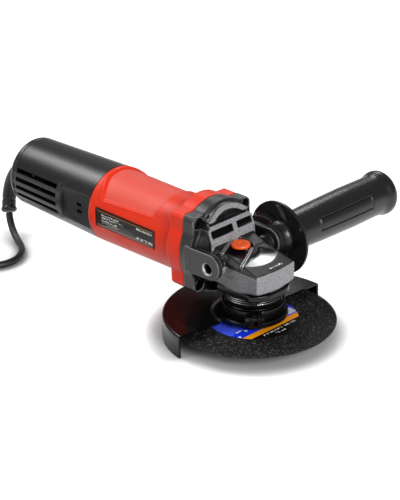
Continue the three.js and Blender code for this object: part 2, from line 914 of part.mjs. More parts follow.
const housingScrewSpots = [
  [housingScrewY, collarCentreZ + housingScrewZ],
  [-housingScrewY, collarCentreZ + housingScrewZ],
  [housingScrewY, collarCentreZ - housingScrewZ],
  [-housingScrewY, collarCentreZ - housingScrewZ],
];
const housingScrewSeat = housingFlangeFront - 3.6;

/** The head between the flange and its flat front, tapering forwards, its top sloping down. */
function headBody() {
  const section = (x, half, top, bottom) =>
    [
      [-half, bottom],
      [half, bottom],
      [half, top - headShoulder],
      [half - headShoulder * 0.8, top],
      [-half + headShoulder * 0.8, top],
      [-half, top - headShoulder],
    ].map(([y, z]) => new THREE.Vector3(x, y, z));
  return loft([
    section(headRear - 6, headRearHalfWidth, headRearTop + 6 * topSlope, headBottomHeight),
    section(headFront, headFrontHalfWidth, headFrontTop, headBottomHeight),
  ]);
}

/** The rounded throat that joins the round flange to the narrower head. */
function throat() {
  const steps = 28;
  const ring = (x, ry, rz, cz, power) =>
    Array.from({ length: steps }, (_, i) => {
      const angle = (2 * Math.PI * (i + 0.5)) / steps;
      const [c, s] = [Math.cos(angle), Math.sin(angle)];
      const bend = (w) => Math.sign(w) * Math.abs(w) ** power;
      return new THREE.Vector3(x, ry * bend(c), cz + rz * bend(s));
    });
  return loft([
    ring(housingFlangeFront - 2, fanRoomRadius + 2, fanRoomRadius + 1, motorAxisHeight, 1),
    ring(housingFlangeFront + 3, fanRoomRadius, fanRoomRadius - 2, motorAxisHeight, 0.9),
    ring(headRear + 8, headRearHalfWidth - 2, 13.6, headBottomHeight + 13.6, 0.6),
  ]);
}

/** The arched block that carries the exhaust grille, its front leaning back. */
function archBlock() {
  const half = archHalfWidth;
  const springLine = archTop - archRadius + Math.sqrt(archRadius ** 2 - half ** 2);
  const sweep = THREE.MathUtils.radToDeg(Math.acos(half / archRadius));
  const outline = [
    [-half, motorAxisHeight],
    [half, motorAxisHeight],
    [half, springLine],
    ...arc(0, archTop - archRadius, archRadius, sweep, 180 - sweep, 14).slice(1, -1),
    [-half, springLine],
  ];
  const bottom = headRearTop + 3;
  const leaning = prism("y", [
    [housingFlangeFront - 4, motorAxisHeight - 1],
    [grilleBase, motorAxisHeight - 1],
    [grilleBase, bottom],
    [grilleBase - grilleTopSetback, archTop],
    [grilleBase - grilleTopSetback, archTop + 2],
    [housingFlangeFront - 4, archTop + 2],
  ], -half - 1, half + 1);
  return prism("x", outline, housingFlangeFront - 4, grilleBase).intersect(leaning);
}

/** The air passage behind the grille and the openings through it. */
function grilleOpenings() {
  const ductBottom = headRearTop + 5.6;
  const ductHalf = archHalfWidth - 4.2;
  const barTop = archTop - grilleBarDrop;
  const barBottom = barTop - grilleBarHeight;
  const duct = prism("x", [
    [-windowHalfSpan, ductBottom],
    [windowHalfSpan, ductBottom],
    [windowHalfSpan, barBottom],
    [ductHalf, barBottom + 2],
    [ductHalf, archTop - 9],
    [ductHalf - 7, archTop - 4],
    [-ductHalf + 7, archTop - 4],
    [-ductHalf, archTop - 9],
    [-ductHalf, barBottom + 2],
    [-windowHalfSpan, barBottom],
  ], housingFlangeFront - 4, grilleBase).intersect(
    prism("y", [
      [housingFlangeFront - 5, ductBottom - 1],
      [grilleBase - grilleWall - 1.6, ductBottom - 1],
      [grilleBase - grilleWall - grilleTopSetback, archTop],
      [housingFlangeFront - 5, archTop],
    ], -windowHalfSpan - 1, windowHalfSpan + 1),
  );
  const halfMoon = prism("x", [
    [-moonHalfSpan, barTop],
    [moonHalfSpan, barTop],
    [moonHalfSpan - 4, archTop - 5.6],
    [-moonHalfSpan + 4, archTop - 5.6],
  ], housingFlangeFront - 1, grilleBase + 1);
  const slots = [-1, 1].map((side) => {
    const near = windowStemY + (side * windowStemWidth) / 2;
    const far = side * windowHalfSpan;
    return block(housingFlangeFront - 1, grilleBase + 1, Math.min(near, far),
      Math.max(near, far), ductBottom + 0.4, barBottom);
  });
  return [duct, halfMoon, ...slots];
}

/** The two ears that take the side handle's stud. */
function ears() {
  return [-1, 1].map((side) => {
    const inner = headFrontHalfWidth - 4;
    const back = earFace - earThickness;
    const [from, to] = side < 0 ? [-earFace, -back] : [back, earFace];
    const [bossFrom, bossTo] = side < 0 ? [-back - 1, -inner] : [inner, back + 1];
    return joined(
      rod("y", handleBossRadius, bossFrom, bossTo, handleAxisX, handleAxisZ),
      rod("y", earRadius, from, to, earCentreX, earCentreZ),
      prism("y", [
        [housingFlangeFront - 2, earCentreZ - earRadius + 0.6],
        [earCentreX, earCentreZ - earRadius],
        [earCentreX, earCentreZ + earRadius],
        [housingFlangeFront - 2, earCentreZ + earRadius - 1],
      ], from, to),
    );
  });
}

const pocket = joined(
  block(pocketRear, pocketFront, pocketMouth, pocketSide, pocketFloor,
    headRearTop + 20),
);
const pinionHoodFront = pinionPoint(0, 0, innerShare).x + 1.6;
const pinionHood = block(pocketRear - 1, pinionHoodFront, -pinionHoodHalfWidth,
  pinionHoodHalfWidth, pocketFloor - 2, pinionHoodTop);
const scoopCentreX = 7;
const scoopRadius = 34;
const scoopDepth = 2.3;
const scoopTop = headFrontTop + (headFront - scoopCentreX) * topSlope;
const lockBoreX = -lockPinCircle;
const bushWall = 1.2;
const bushOuter = topJournalRadius + runGap + bushWall;
const bushBottom = hubTop + 1;
const bushTop = spindleTop + 0.2;
const gearRoom = joined(
  rod("z", gearCavityRadius, headBottomHeight - 1, gearCavityTop),
  rod("x", motorAxisHeight - pinionPoint(addendum, 0, 1).z + 0.5,
    frontBearingFront - 1, pinionHoodFront - 0.7, 0, motorAxisHeight),
);
const bushBoss = rod("z", bushOuter + 0.9, bushBottom, gearCavityTop + 1);
piece(
  "gear_housing",
  cut(
    joined(
      cut(
        joined(
          cut(
            joined(
              prism("x", collarOutline(0), collarJoint + faceGap, housingFlangeFront),
              throat(),
              headBody(),
              rod("z", drumRadius, headBottomHeight, drumTop).intersect(
                block(-drumRadius, headFront, -drumRadius, drumRadius, 0, motorAxisHeight)),
              archBlock(),
              ears(),
            ),
            pocket,
          ),
          pinionHood,
        ),
        gearRoom,
        rod("z", coverPlateRadius + 0.6, 0, headBottomHeight),
      ),
      bushBoss,
    ),
    rod("z", bushOuter + faceGap, bushBottom - 1, bushTop + faceGap),
    rod("x", fanRoomRadius, collarJoint - 1, fanRoomFront, 0, motorAxisHeight),
    rod("x", motorBearingRadius + runGap, fanRoomFront - 1, frontBearingFront,
      0, motorAxisHeight),
    grilleOpenings(),
    solid(
      new THREE.SphereGeometry(scoopRadius, 40, 20).translate(
        scoopCentreX - 6, 0, scoopTop + scoopRadius - scoopDepth + 1),
    ).intersect(block(pocketFront - 1, headFront - 4.5, -12, 15, 0, 2 * motorAxisHeight)),
    rod("z", lockPinRadius + runGap, hubTop, headRearTop, lockBoreX, 0),
    rod("y", handleThreadRadius, -earFace - 1, -earFace + handleThreadDepth,
      handleAxisX, handleAxisZ),
    rod("y", handleThreadRadius, earFace - handleThreadDepth, earFace + 1,
      handleAxisX, handleAxisZ),
    housingScrewSpots.map(([y, z]) => [
      rod("x", housingScrewRadius + runGap, collarJoint - 1, housingFlangeFront + 1, y, z),
      rod("x", housingScrewHeadRadius + 0.6, housingScrewSeat, housingFlangeFront + 9, y, z),
    ]).flat(),
    coverScrewSpots.map(([x, y]) =>
      rod("z", coverScrewRadius + runGap, headBottomHeight - 1,
        headBottomHeight + coverScrewDepth + 1, x, y)),
  ),
  "castPainted",
);

housingScrewSpots.forEach(([y, z], i) => {
  const seat = housingScrewSeat + faceGap;
  piece(
    `gear_housing_screw_${i + 1}`,
    turned("x", [
      [0, seat - housingScrewLength],
      [housingScrewRadius, seat - housingScrewLength],
      [housingScrewRadius, seat],
      [housingScrewHeadRadius, seat],
      [housingScrewHeadRadius, seat + housingScrewHeadHeight],
      [0, seat + housingScrewHeadHeight],
    ], y, z, screwSides),
    "blackSteel",
  );
});

piece(
  "spindle_bush",
  tube("z", bushOuter, topJournalRadius + runGap, bushBottom, bushTop),
  "bronze",
);

// ---------------------------------------------------------------- spindle lock

const pinTop = buttonBottom + 1.2;
const pinBottom = hubTop + 0.5;
piece(
  "lock_button",
  cut(
    turned("z", [
      [0, buttonBottom],
      [buttonRadius - 0.4, buttonBottom],
      [buttonRadius, buttonBottom + 0.4],
      [buttonRadius, buttonTop - 0.8],
      [buttonRadius - 0.8, buttonTop],
      [1.3, buttonTop],
      [1.3, buttonTop - 0.7],
      [0, buttonTop - 0.7],
    ], buttonX, 0),
    block(buttonX - buttonRadius - 1, pinionHoodFront + 0.4, -pinionHoodHalfWidth - 0.4,
      pinionHoodHalfWidth + 0.4, buttonBottom - 1, buttonBottom + buttonChannelDepth),
    rod("z", lockPinRadius + 0.15, buttonBottom - 1, pinTop + 0.1, lockBoreX, 0),
  ),
  "orangeNylon",
);
piece("lock_pin", rod("z", lockPinRadius, pinBottom, pinTop, lockBoreX, 0), "steel");
piece(
  "lock_spring",
  tube("z", lockPinRadius + 0.7, lockPinRadius + 0.2, pocketFloor + faceGap,
    buttonBottom - faceGap, lockBoreX, 0),
  "steel",
);

// ---------------------------------------------------------------- motor housing and stator

const motorWallRear = motorHousingRear + 5;
const bearingCupOuter = motorBearingRadius + 2.3;
const radiusAlong = (x) =>
  tubeFrontRadius +
  ((tubeRearRadius - tubeFrontRadius) * (redCollarRear - x)) / (redCollarRear - motorHousingRear);
const slotRear = sliderRear + (sliderLength - sliderNeckLength) / 2 - 0.5;
const slotFront = slotRear + sliderNeckLength + sliderTravel + 1;
const plateFront = -75;
const plateRear = -140.6;
const plateRise = 8.6;
const plateDrop = 6.6;
const plateTop = motorAxisHeight + plateRise;
const plateBottom = motorAxisHeight - plateDrop;
const plateFace = 29.6;
const plateThickness = 0.5;
piece(
  "motor_housing",
  cut(
    joined(
      prism("x", collarOutline(0.3), redCollarRear, collarJoint),
      turned("x", [
        [tubeInner, motorHousingRear],
        [tubeRearRadius, motorHousingRear],
        [tubeFrontRadius, redCollarRear - 0.5],
        [tubeFrontRadius, redCollarRear + 1],
        [tubeInner, redCollarRear + 1],
        [tubeInner, motorHousingRear],
      ], 0, motorAxisHeight),
      tube("x", tubeInner + 0.5, bearingCupOuter - 1, motorHousingRear + 1, motorWallRear - 1.5,
        0, motorAxisHeight),
      tube("x", bearingCupOuter, motorBearingRadius + runGap, rearBearingRear - 0.5,
        motorWallRear - 1.5, 0, motorAxisHeight),
      tube("x", motorBearingRadius + 1, motorBearingJournal + 2.5, rearBearingFront + faceGap,
        motorWallRear - 1.5, 0, motorAxisHeight),
    ),
    turned("x", [
      [radiusAlong(gripPanelRear) - gripPanelDepth, gripPanelRear],
      [tubeRearRadius + 2, gripPanelRear],
      [tubeRearRadius + 2, gripPanelFront],
      [radiusAlong(gripPanelFront) - gripPanelDepth, gripPanelFront],
      [radiusAlong(gripPanelRear) - gripPanelDepth, gripPanelRear],
    ], 0, motorAxisHeight).intersect(block(gripPanelRear - 1, gripPanelFront + 1,
      -tubeRearRadius - 3, tubeRearRadius + 3,
      motorAxisHeight + gripPanelRise, motorAxisHeight + tubeRearRadius + 3)),
    rod("x", fanRoomRadius - 0.6, redCollarRear + 1.2, collarJoint + 1, 0, motorAxisHeight),
    rod("x", tubeInner, redCollarRear - 1, redCollarRear + 2, 0, motorAxisHeight),
    around("x", 4, () =>
      block(motorHousingRear, motorWallRear, -7, 7, motorAxisHeight + bearingCupOuter + 1.5,
        motorAxisHeight + tubeInner - 1)).map((w) =>
      w.translate([0, 0, -motorAxisHeight]).rotate([45, 0, 0]).translate([0, 0, motorAxisHeight])),
    block(slotRear, slotFront, tubeInner - 3, tubeRearRadius + 4,
      motorAxisHeight - sliderNeckHalfHeight - 0.4, motorAxisHeight + sliderNeckHalfHeight + 0.4),
    block(motorHousingRear - 1, motorWallRear, linkInnerFace - 1,
      linkInnerFace + linkThickness + 0.4,
      motorAxisHeight - linkHalfHeight - 0.6, motorAxisHeight + linkHalfHeight + 0.6),
    block(plateRear - 0.3, plateFront + 0.3, -tubeRearRadius - 3,
      -plateFace + plateThickness + faceGap, plateBottom - 0.3, plateTop + 0.3),
    housingScrewSpots.map(([y, z]) =>
      rod("x", housingScrewRadius + runGap, housingScrewSeat - housingScrewLength - 1,
        collarJoint + 1, y, z)),
  ),
  "redNylon",
);
piece(
  "rating_plate",
  block(plateRear, plateFront, -plateFace, -plateFace + plateThickness, plateBottom, plateTop),
  "label",
);

const baffleFront = fanBack - 1;
const baffleDepth = 8.6;
const baffleWall = 2;
const baffleHole = 17.2;
piece(
  "air_baffle",
  turned("x", [
    [baffleHole, baffleFront - baffleWall],
    [tubeInner - runGap, baffleFront - baffleDepth],
    [tubeInner - runGap, baffleFront - baffleDepth + baffleWall],
    [baffleHole, baffleFront],
    [baffleHole, baffleFront - baffleWall],
  ], 0, motorAxisHeight),
  "blackNylon",
);

const poleRadius = armatureRadius + airGap;
const coilHalfHeight = 6.9;
const coilOuterFace = 20.8;
const windowInnerFace = 8;
piece(
  "stator_core",
  cut(
    rod("x", statorRadius, statorRear, statorFront, 0, motorAxisHeight).intersect(
      block(statorRear - 1, statorFront + 1, -statorFlat, statorFlat,
        motorAxisHeight - statorRadius, motorAxisHeight + statorRadius)),
    rod("x", poleRadius, statorRear - 1, statorFront + 1, 0, motorAxisHeight),
    [-1, 1].map((side) =>
      block(statorRear - 1, statorFront + 1,
        side < 0 ? -coilOuterFace - 2 * runGap : windowInnerFace,
        side < 0 ? -windowInnerFace : coilOuterFace + 2 * runGap,
        motorAxisHeight - coilHalfHeight - 2 * runGap,
        motorAxisHeight + coilHalfHeight + 2 * runGap)),
  ),
  "laminations",
);

/** One field coil: an oval ring through the stator's side windows, its ends past the core. */
function fieldCoil(name, side) {
  const inner = poleRadius + airGap;
  const [from, to] = side < 0 ? [-coilOuterFace, -inner] : [inner, coilOuterFace];
  piece(
    name,
    block(statorRear - windingOverhang, statorFront + windingOverhang - 2, from, to,
      motorAxisHeight - coilHalfHeight, motorAxisHeight + coilHalfHeight),
    "copper",
  );
}
fieldCoil("field_coil_near", -1);
fieldCoil("field_coil_far", 1);

// ---------------------------------------------------------------- brushes

/** A brush holder, its carbon brush and its spring, above (+1) or below (-1) the commutator. */
function brushGear(word, side) {
  const tip = commutatorRadius + runGap;
  const placed = (made) =>
    side > 0
      ? made.translate([brushX, 0, motorAxisHeight])
      : made.rotate([180, 0, 0]).translate([brushX, 0, motorAxisHeight]);
  const [hx, hy] = [brushThickness / 2, brushWidth / 2];
  const boxBottom = tip + 1.6;
  const boxTop = tubeInner - 1.2;
  const room = runGap;
  piece(
    `brush_holder_${word}`,
    placed(
      cut(
        block(-hx - room - brushBoxWall, hx + room + brushBoxWall,
          -hy - room - brushBoxWall, hy + room + brushBoxWall, boxBottom, boxTop),
        block(-hx - room, hx + room, -hy - room, hy + room, boxBottom - 1, boxTop - 1),
      ),
    ),
    "brass",
  );
  piece(`carbon_brush_${word}`, placed(block(-hx, hx, -hy, hy, tip, tip + brushLength)), "carbon");
  piece(
    `brush_spring_${word}`,
    placed(tube("z", 2, 1.2, tip + brushLength + faceGap, boxTop - 1 - faceGap)),
    "steel",
  );
}
brushGear("upper", 1);
brushGear("lower", -1);

// ---------------------------------------------------------------- rear cover

const coverFront = motorHousingRear - faceGap;
const tailRound = 5;
const coverSeatRadius = tubeRearRadius - coverWall;
const ventRise = (i) => motorAxisHeight + ventPitch * (i - (ventCount - 1) / 2);
const reliefNeckRadius = 5.4;
const switchBottom = motorAxisHeight - switchHalfHeight;
const clampInset = 16.5; // from the tail's end
const clampX = tailEnd + clampInset;
const clampWidth = 9;
const cradleTop = motorAxisHeight - cordRadius - 0.4;
const tailInner = tailRadius - coverWall;
piece(
  "rear_cover",
  cut(
    joined(
      turned("x", [
        [reliefNeckRadius + runGap, tailEnd],
        [tailRadius - tailRound, tailEnd],
        [tailRadius - 1.5, tailEnd + 1.5],
        [tailRadius, tailEnd + tailRound],
        [tubeRearRadius, coverFront],
        [coverSeatRadius, coverFront],
        [tailInner, tailEnd + tailRound + 2],
        [tailInner - 3, tailEnd + 3],
        [reliefNeckRadius + runGap, tailEnd + 3],
        [reliefNeckRadius + runGap, tailEnd],
      ], 0, motorAxisHeight),
      block(switchCentreX - switchLength / 2 + 3, switchCentreX + switchLength / 2 - 3,
        switchInnerFace + 2, switchOuterFace - 6, motorAxisHeight - tailInner - 1,
        switchBottom - faceGap),
      block(clampX - clampWidth / 2 - 2, clampX + clampWidth / 2 + 2, -12, 12,
        motorAxisHeight - tailInner - 0.6, cradleTop),
    ),
    [-1, 1].map((side) =>
      Array.from({ length: ventCount }, (_, i) =>
        block(ventRear, ventFront, side < 0 ? -tubeRearRadius - 2 : 18,
          side < 0 ? -18 : tubeRearRadius + 2,
          ventRise(i) - ventHeight / 2, ventRise(i) + ventHeight / 2))).flat(),
    block(ventFront + 3, coverFront + 1, -tubeRearRadius - 2, -sideFlat,
      motorAxisHeight - sideFlatHalfHeight, motorAxisHeight + sideFlatHalfHeight),
    clipWindowRises.map((rise) =>
      block(clipWindowRear, clipWindowRear + clipWindowLength, -tubeRearRadius - 2,
        -tailInner + 4, motorAxisHeight + rise - clipWindowHeight / 2,
        motorAxisHeight + rise + clipWindowHeight / 2)),
    [-1, 1].map((side) =>
      rod("z", 1.9, cradleTop - 9, cradleTop + 1, clampX, side * 8)),
  ),
  "blackNylon",
);

const fingerHalf = 1.4;
const fingerDepth = 3;
piece(
  "switch_body",
  cut(
    block(switchCentreX - switchLength / 2, switchCentreX + switchLength / 2,
      switchInnerFace, switchOuterFace, switchBottom, motorAxisHeight + switchHalfHeight),
    block(switchCentreX - fingerHalf - 0.5, switchCentreX + fingerHalf + sliderTravel + 0.5,
      switchOuterFace - fingerDepth - 0.5, switchOuterFace + 1,
      motorAxisHeight - linkHalfHeight - 0.5, motorAxisHeight + linkHalfHeight + 0.5),
  ),
  "blackNylon",
);

// ---------------------------------------------------------------- switch slider and its link

const sliderFront = sliderRear + sliderLength;
const sliderSkin = tubeRearRadius + runGap;
const neckRear = slotRear + 0.5;
const neckFront = neckRear + sliderNeckLength;
const linkOuterFace = linkInnerFace + linkThickness;
piece(
  "switch_slider",
  joined(
    prism("z", [
      [sliderRear, sliderSkin],
      [sliderFront, sliderSkin],
      [sliderFront - 1.5, sliderTop - 0.6],
      [sliderFront - 5, sliderTop],
      [sliderRear + 5, sliderTop - 0.8],
      [sliderRear + 1.5, sliderTop - 1.4],
    ], motorAxisHeight - sliderHalfHeight, motorAxisHeight + sliderHalfHeight),
    block(neckRear, neckFront, linkOuterFace + faceGap, sliderSkin + 0.5,
      motorAxisHeight - sliderNeckHalfHeight, motorAxisHeight + sliderNeckHalfHeight),
  ),
  "blackNylon",
);
piece(
  "switch_link",
  joined(
    block(switchCentreX - fingerHalf, neckFront - 1, linkInnerFace, linkOuterFace,
      motorAxisHeight - linkHalfHeight, motorAxisHeight + linkHalfHeight),
    block(switchCentreX - fingerHalf, switchCentreX + fingerHalf,
      switchOuterFace - fingerDepth, linkOuterFace - 0.2,
      motorAxisHeight - linkHalfHeight, motorAxisHeight + linkHalfHeight),
  ),
  "blackSteel",
);

// ---------------------------------------------------------------- cord clamp, strain relief, cord

const leadInner = tailEnd + 6;
const leadEnd = switchCentreX - switchLength / 2 - 0.4;
piece(
  "inner_lead",
  rod("x", cordRadius, leadInner, leadEnd, 0, motorAxisHeight),
  "rubber",
);
const clampBottom = motorAxisHeight + cordRadius + faceGap;
piece(
  "cord_clamp",
  cut(
    joined(
      block(clampX - clampWidth / 2, clampX + clampWidth / 2, -11, 11, clampBottom,
        clampBottom + 3),
      [-1, 1].map((side) =>
        block(clampX - clampWidth / 2, clampX + clampWidth / 2, side < 0 ? -11 : 5,
          side < 0 ? -5 : 11, cradleTop + faceGap, clampBottom + 1)),
    ),
    [-1, 1].map((side) => rod("z", 2, cradleTop - 1, clampBottom + 5, clampX, side * 8)),
  ),
  "blackNylon",
);
[["near", -1], ["far", 1]].forEach(([word, side]) => {
  piece(
    `cord_clamp_screw_${word}`,
    turned("z", [
      [0, cradleTop - 8],
      [1.6, cradleTop - 8],
      [1.6, clampBottom + 3 + faceGap],
      [3, clampBottom + 3 + faceGap],
      [3, clampBottom + 5],
      [0, clampBottom + 5],
    ], clampX, side * 8, screwSides),
    "steel",
  );
});

// The strain relief bends down and round to the front under the cord's weight.
// Each row: how far from the tail's end, how far to the near side, and the share of the height left.
const reliefTipHeight = 19.4;
const reliefRoute = [
  [3.4, 0, 1],
  [-3, 0, 1],
  [-11, 0.4, 0.962],
  [-20, 1.4, 0.822],
  [-25.6, 3, 0.601],
  [-27.4, 5.2, 0.361],
  [-26, 8, 0.139],
  [-23.2, 10.6, 0],
];
const reliefPath = new THREE.CatmullRomCurve3(
  reliefRoute.map(([x, y, share]) =>
    new THREE.Vector3(
      tailEnd + x,
      -y,
      reliefTipHeight + (motorAxisHeight - reliefTipHeight) * share,
    )),
);
const reliefNeckShare = 0.12;
const reliefTipRadius = 5.2;
piece(
  "strain_relief",
  swept(
    reliefPath,
    (share) => {
      if (share < reliefNeckShare) return reliefNeckRadius;
      if (share > 0.93) return reliefTipRadius + 1;
      return 6.6 - 1.1 * share;
    },
    12,
    16,
  ),
  "rubber",
);

// The cord's run from the relief's tip to its coil, which lies on the ground past the tail.
const cordRun = [
  [-22.7, 11.1, reliefTipHeight - 1.2],
  [-18.9, 13.4, 13.4],
  [-13.5, 16.0, 9.0],
  [-6.9, 18.8, 5.6],
  [0.5, 21.8, 3.7],
  [7.9, 25.4, 3.1],
  [15.1, 30.4, 3.1],
  [21.1, 37.0, 3.1],
  [24.9, 45.0, 3.1],
  [25.7, 53.2, 3.1],
  [23.5, 61.0, 3.1],
  [18.7, 68.0, 3.1],
  [11.7, 73.2, 3.1],
  [3.5, 75.8, 3.1],
  [-8.5, 76.4, 3.1],
  [-20.5, 76.4, 3.1],
].map(([x, y, z]) => new THREE.Vector3(tailEnd + x, -y, z));
const cordSides = 8;
const cordSteps = 20;
piece(
  "power_cord",
  swept(new THREE.CatmullRomCurve3(cordRun), () => cordRadius - 0.1, cordSides, cordSteps),
  "rubber",
);

const coilMidRadius = 33;
const coilTurnsAcross = 4;
const coilTurnsUp = 2;
const coilHalf = coilTurnsAcross * cordRadius + 0.2;
const coilCentre = [tailEnd - 20.5, -125.2];
const coilBottom = 0.2;
const coilTop = coilBottom + 2 * coilTurnsUp * cordRadius + 0.2;
const tieWidth = 11;
const tieThickness = 0.9;
const tieRoom = 0.35;
const coilInner = coilMidRadius - coilHalf;
const tieInner = Math.sqrt(coilInner ** 2 - (tieWidth / 2) ** 2) - tieRoom - chordSag;
const coilOuter = coilMidRadius + coilHalf;
const atCoil = (made) => made.translate([coilCentre[0], coilCentre[1], 0]);
piece(
  "cord_coil",
  atCoil(
    cut(
      tube("z", coilOuter, coilInner, coilBottom, coilTop),
      block(-coilOuter - 1, -coilInner + 1, -tieWidth / 2 - tieRoom, tieWidth / 2 + tieRoom,
        -1, coilBottom + tieThickness + 2 * tieRoom),
    ),
  ),
  "rubber",
);
piece(
  "cord_tie",
  atCoil(
    cut(
      block(-coilOuter - tieRoom - tieThickness, -tieInner + tieThickness,
        -tieWidth / 2, tieWidth / 2, coilBottom, coilTop + tieRoom + tieThickness),
      block(-coilOuter - tieRoom, -tieInner, -tieWidth, tieWidth,
        coilBottom + tieThickness, coilTop + tieRoom),
    ),
  ),
  "rubber",
);

// The plug lies on the ground beside the coil.
const plugAt = [tailEnd + 62.6, -166, 12.4];
const plugHalfWidth = 17.5;
const plugHalfHeight = 12.2;
const plugLength = 34;
const plugNeckLength = 22;
const pinRadius = 2.4;
const pinLength = 19;
const pinSpacing = 19;

/** A rounded-rectangle section across X at the plug's centre line. */
function plugSection(x, halfWidth, halfHeight) {
  const steps = 16;
  return Array.from({ length: steps }, (_, i) => {
    const angle = (2 * Math.PI * (i + 0.5)) / steps;
    const bend = (w) => Math.sign(w) * Math.abs(w) ** 0.6;
    return new THREE.Vector3(
      plugAt[0] - x,
      plugAt[1] + halfWidth * bend(Math.cos(angle)),
      plugAt[2] + halfHeight * bend(Math.sin(angle)),
    );
  });
}
piece(
  "plug",
  loft([
    plugSection(0, plugHalfWidth, plugHalfHeight),
    plugSection(plugLength * 0.25, plugHalfWidth, plugHalfHeight),
    plugSection(plugLength * 0.55, plugHalfWidth * 0.75, plugHalfHeight * 0.85),
    plugSection(plugLength, 6, 6),
    plugSection(plugNeckLength + plugLength, cordRadius + 1.4, cordRadius + 1.4),
  ]),
  "rubber",
);
[["near", -1], ["far", 1]].forEach(([word, side]) => {
  piece(
    `plug_pin_${word}`,
    rod("x", pinRadius, plugAt[0] + faceGap, plugAt[0] + pinLength,
      plugAt[1] + (side * pinSpacing) / 2, plugAt[2]),
    "brass",
  );
});

// ---------------------------------------------------------------- side handle

const hubStart = earFace + faceGap;
const boreInGrip = studRadius + 0.3;
piece(
  "side_handle",
  turned("y", [
    [boreInGrip, hubStart],
    [handleHubRadius, hubStart],
    [handleHubRadius + 1.5, gripStart + 1.5],
    [handleFlangeRadius - 2.5, gripStart],
    [handleFlangeRadius, gripStart + 1.6],
    [handleFlangeRadius, gripStart + handleFlangeThickness - 1],
    [handleFlangeRadius - 3, gripStart + handleFlangeThickness],
    [gripNearRadius - 1, gripStart + handleFlangeThickness + 5],
    [gripNearRadius, gripStart + 18],
    [(gripNearRadius + gripFarRadius) / 2, (gripStart + gripEnd) / 2],
    [gripFarRadius, gripEnd - 12],
    [gripRimRadius, gripEnd - 6],
    [gripRimRadius, gripEnd - 2],
    [gripRimRadius - 2, gripEnd],
    [0, gripEnd],
    [0, gripStart + studInGrip + 1],
    [boreInGrip, gripStart + studInGrip + 1],
    [boreInGrip, hubStart],
  ], handleAxisX, handleAxisZ),
  "softBlack",
);
piece(
  "handle_stud",
  rod("y", studRadius - 0.1, earFace - handleThreadDepth + 0.6, gripStart + studInGrip,
    handleAxisX, handleAxisZ),
  "steel",
);

export default grinder;
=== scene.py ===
# %% [markdown]
# # An angle grinder, piece by piece
# The frame brings in the engineered model: sixty solids, +X from the tail to the gear head,
# +Y towards the side handle, +Z up, and the origin under the spindle. Everything that shows
# gets a finer surface here. Each is worked out with numpy in millimetres, as a function of
# two parameters or as the skin of a solid, and written into a mesh in metres.

# %% Load the engineered model
import json
import math
from functools import reduce

import bpy
import numpy as np
from mathutils import Matrix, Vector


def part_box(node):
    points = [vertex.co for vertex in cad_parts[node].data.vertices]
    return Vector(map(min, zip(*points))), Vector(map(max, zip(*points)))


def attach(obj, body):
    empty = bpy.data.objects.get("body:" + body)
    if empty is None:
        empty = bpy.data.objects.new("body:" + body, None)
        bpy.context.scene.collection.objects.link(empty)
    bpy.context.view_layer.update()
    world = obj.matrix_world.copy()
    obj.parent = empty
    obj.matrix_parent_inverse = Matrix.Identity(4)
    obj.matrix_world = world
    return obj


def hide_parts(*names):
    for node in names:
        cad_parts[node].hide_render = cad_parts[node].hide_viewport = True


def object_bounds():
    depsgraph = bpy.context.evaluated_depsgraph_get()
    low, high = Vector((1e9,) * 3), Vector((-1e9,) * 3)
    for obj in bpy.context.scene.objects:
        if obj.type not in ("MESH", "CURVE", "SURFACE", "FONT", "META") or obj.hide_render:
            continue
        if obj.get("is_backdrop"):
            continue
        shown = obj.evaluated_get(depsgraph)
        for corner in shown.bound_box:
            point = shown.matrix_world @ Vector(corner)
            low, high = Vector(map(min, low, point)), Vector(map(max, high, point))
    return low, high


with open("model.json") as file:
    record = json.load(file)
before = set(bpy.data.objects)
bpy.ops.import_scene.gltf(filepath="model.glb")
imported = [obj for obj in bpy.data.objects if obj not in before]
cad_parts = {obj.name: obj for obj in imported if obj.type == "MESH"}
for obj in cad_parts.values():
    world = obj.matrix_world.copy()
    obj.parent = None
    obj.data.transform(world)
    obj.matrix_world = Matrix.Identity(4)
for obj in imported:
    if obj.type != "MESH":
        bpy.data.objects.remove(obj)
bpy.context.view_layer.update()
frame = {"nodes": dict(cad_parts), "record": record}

# %% [markdown]
# ## Camera
# A long lens from the front left, a little above: the gear head comes forward and the motor
# runs away to the left. Its three axes follow from an azimuth, an elevation and a slight
# roll, so it can be turned by changing one number. It is made first, because the cord's coil
# has to lie outside what it sees.

# %% Camera
AZIMUTH, ELEVATION, ROLL = np.radians([45.46, 25.32, -0.89])
CAMERA_PLACE = (0.922544, -0.962870, 0.699606)

level_right = np.array([np.cos(AZIMUTH), np.sin(AZIMUTH), 0.0])
backwards = np.array([np.sin(AZIMUTH), -np.cos(AZIMUTH), np.tan(ELEVATION)]) * np.cos(ELEVATION)
level_up = np.cross(backwards, level_right)
right = np.cos(ROLL) * level_right + np.sin(ROLL) * level_up
up = np.cos(ROLL) * level_up - np.sin(ROLL) * level_right


def stand(name, data, side, over, back, place):
    """A new object at place whose own x, y and z run along side, over and back."""
    thing = bpy.data.objects.new(name, data)
    bpy.context.scene.collection.objects.link(thing)
    axes = np.eye(4)
    axes[:3] = np.stack([side, over, back, place], axis=1)
    thing.matrix_world = Matrix(axes.tolist())
    return thing


lens = bpy.data.cameras.new("long_lens")
lens.sensor_width, lens.lens = 36.0, 144.0
bpy.context.scene.camera = stand("camera", lens, right, up, backwards, CAMERA_PLACE)
print("camera at", CAMERA_PLACE)

# %% [markdown]
# ## From arrays to an object
# A mesh could be built vertex by vertex with bmesh, but whole arrays go in much faster with
# foreach_set. One function does it for every piece: it joins the parts, turns each to face
# outwards, keeps only real edges sharp and hides the CAD solids the piece stands for.

# %% Arrays into a mesh
MM = 0.001


def box_mm(name):
    """The low and high corner of an engineered solid, in millimetres."""
    return [np.array(corner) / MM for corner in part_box(name)]


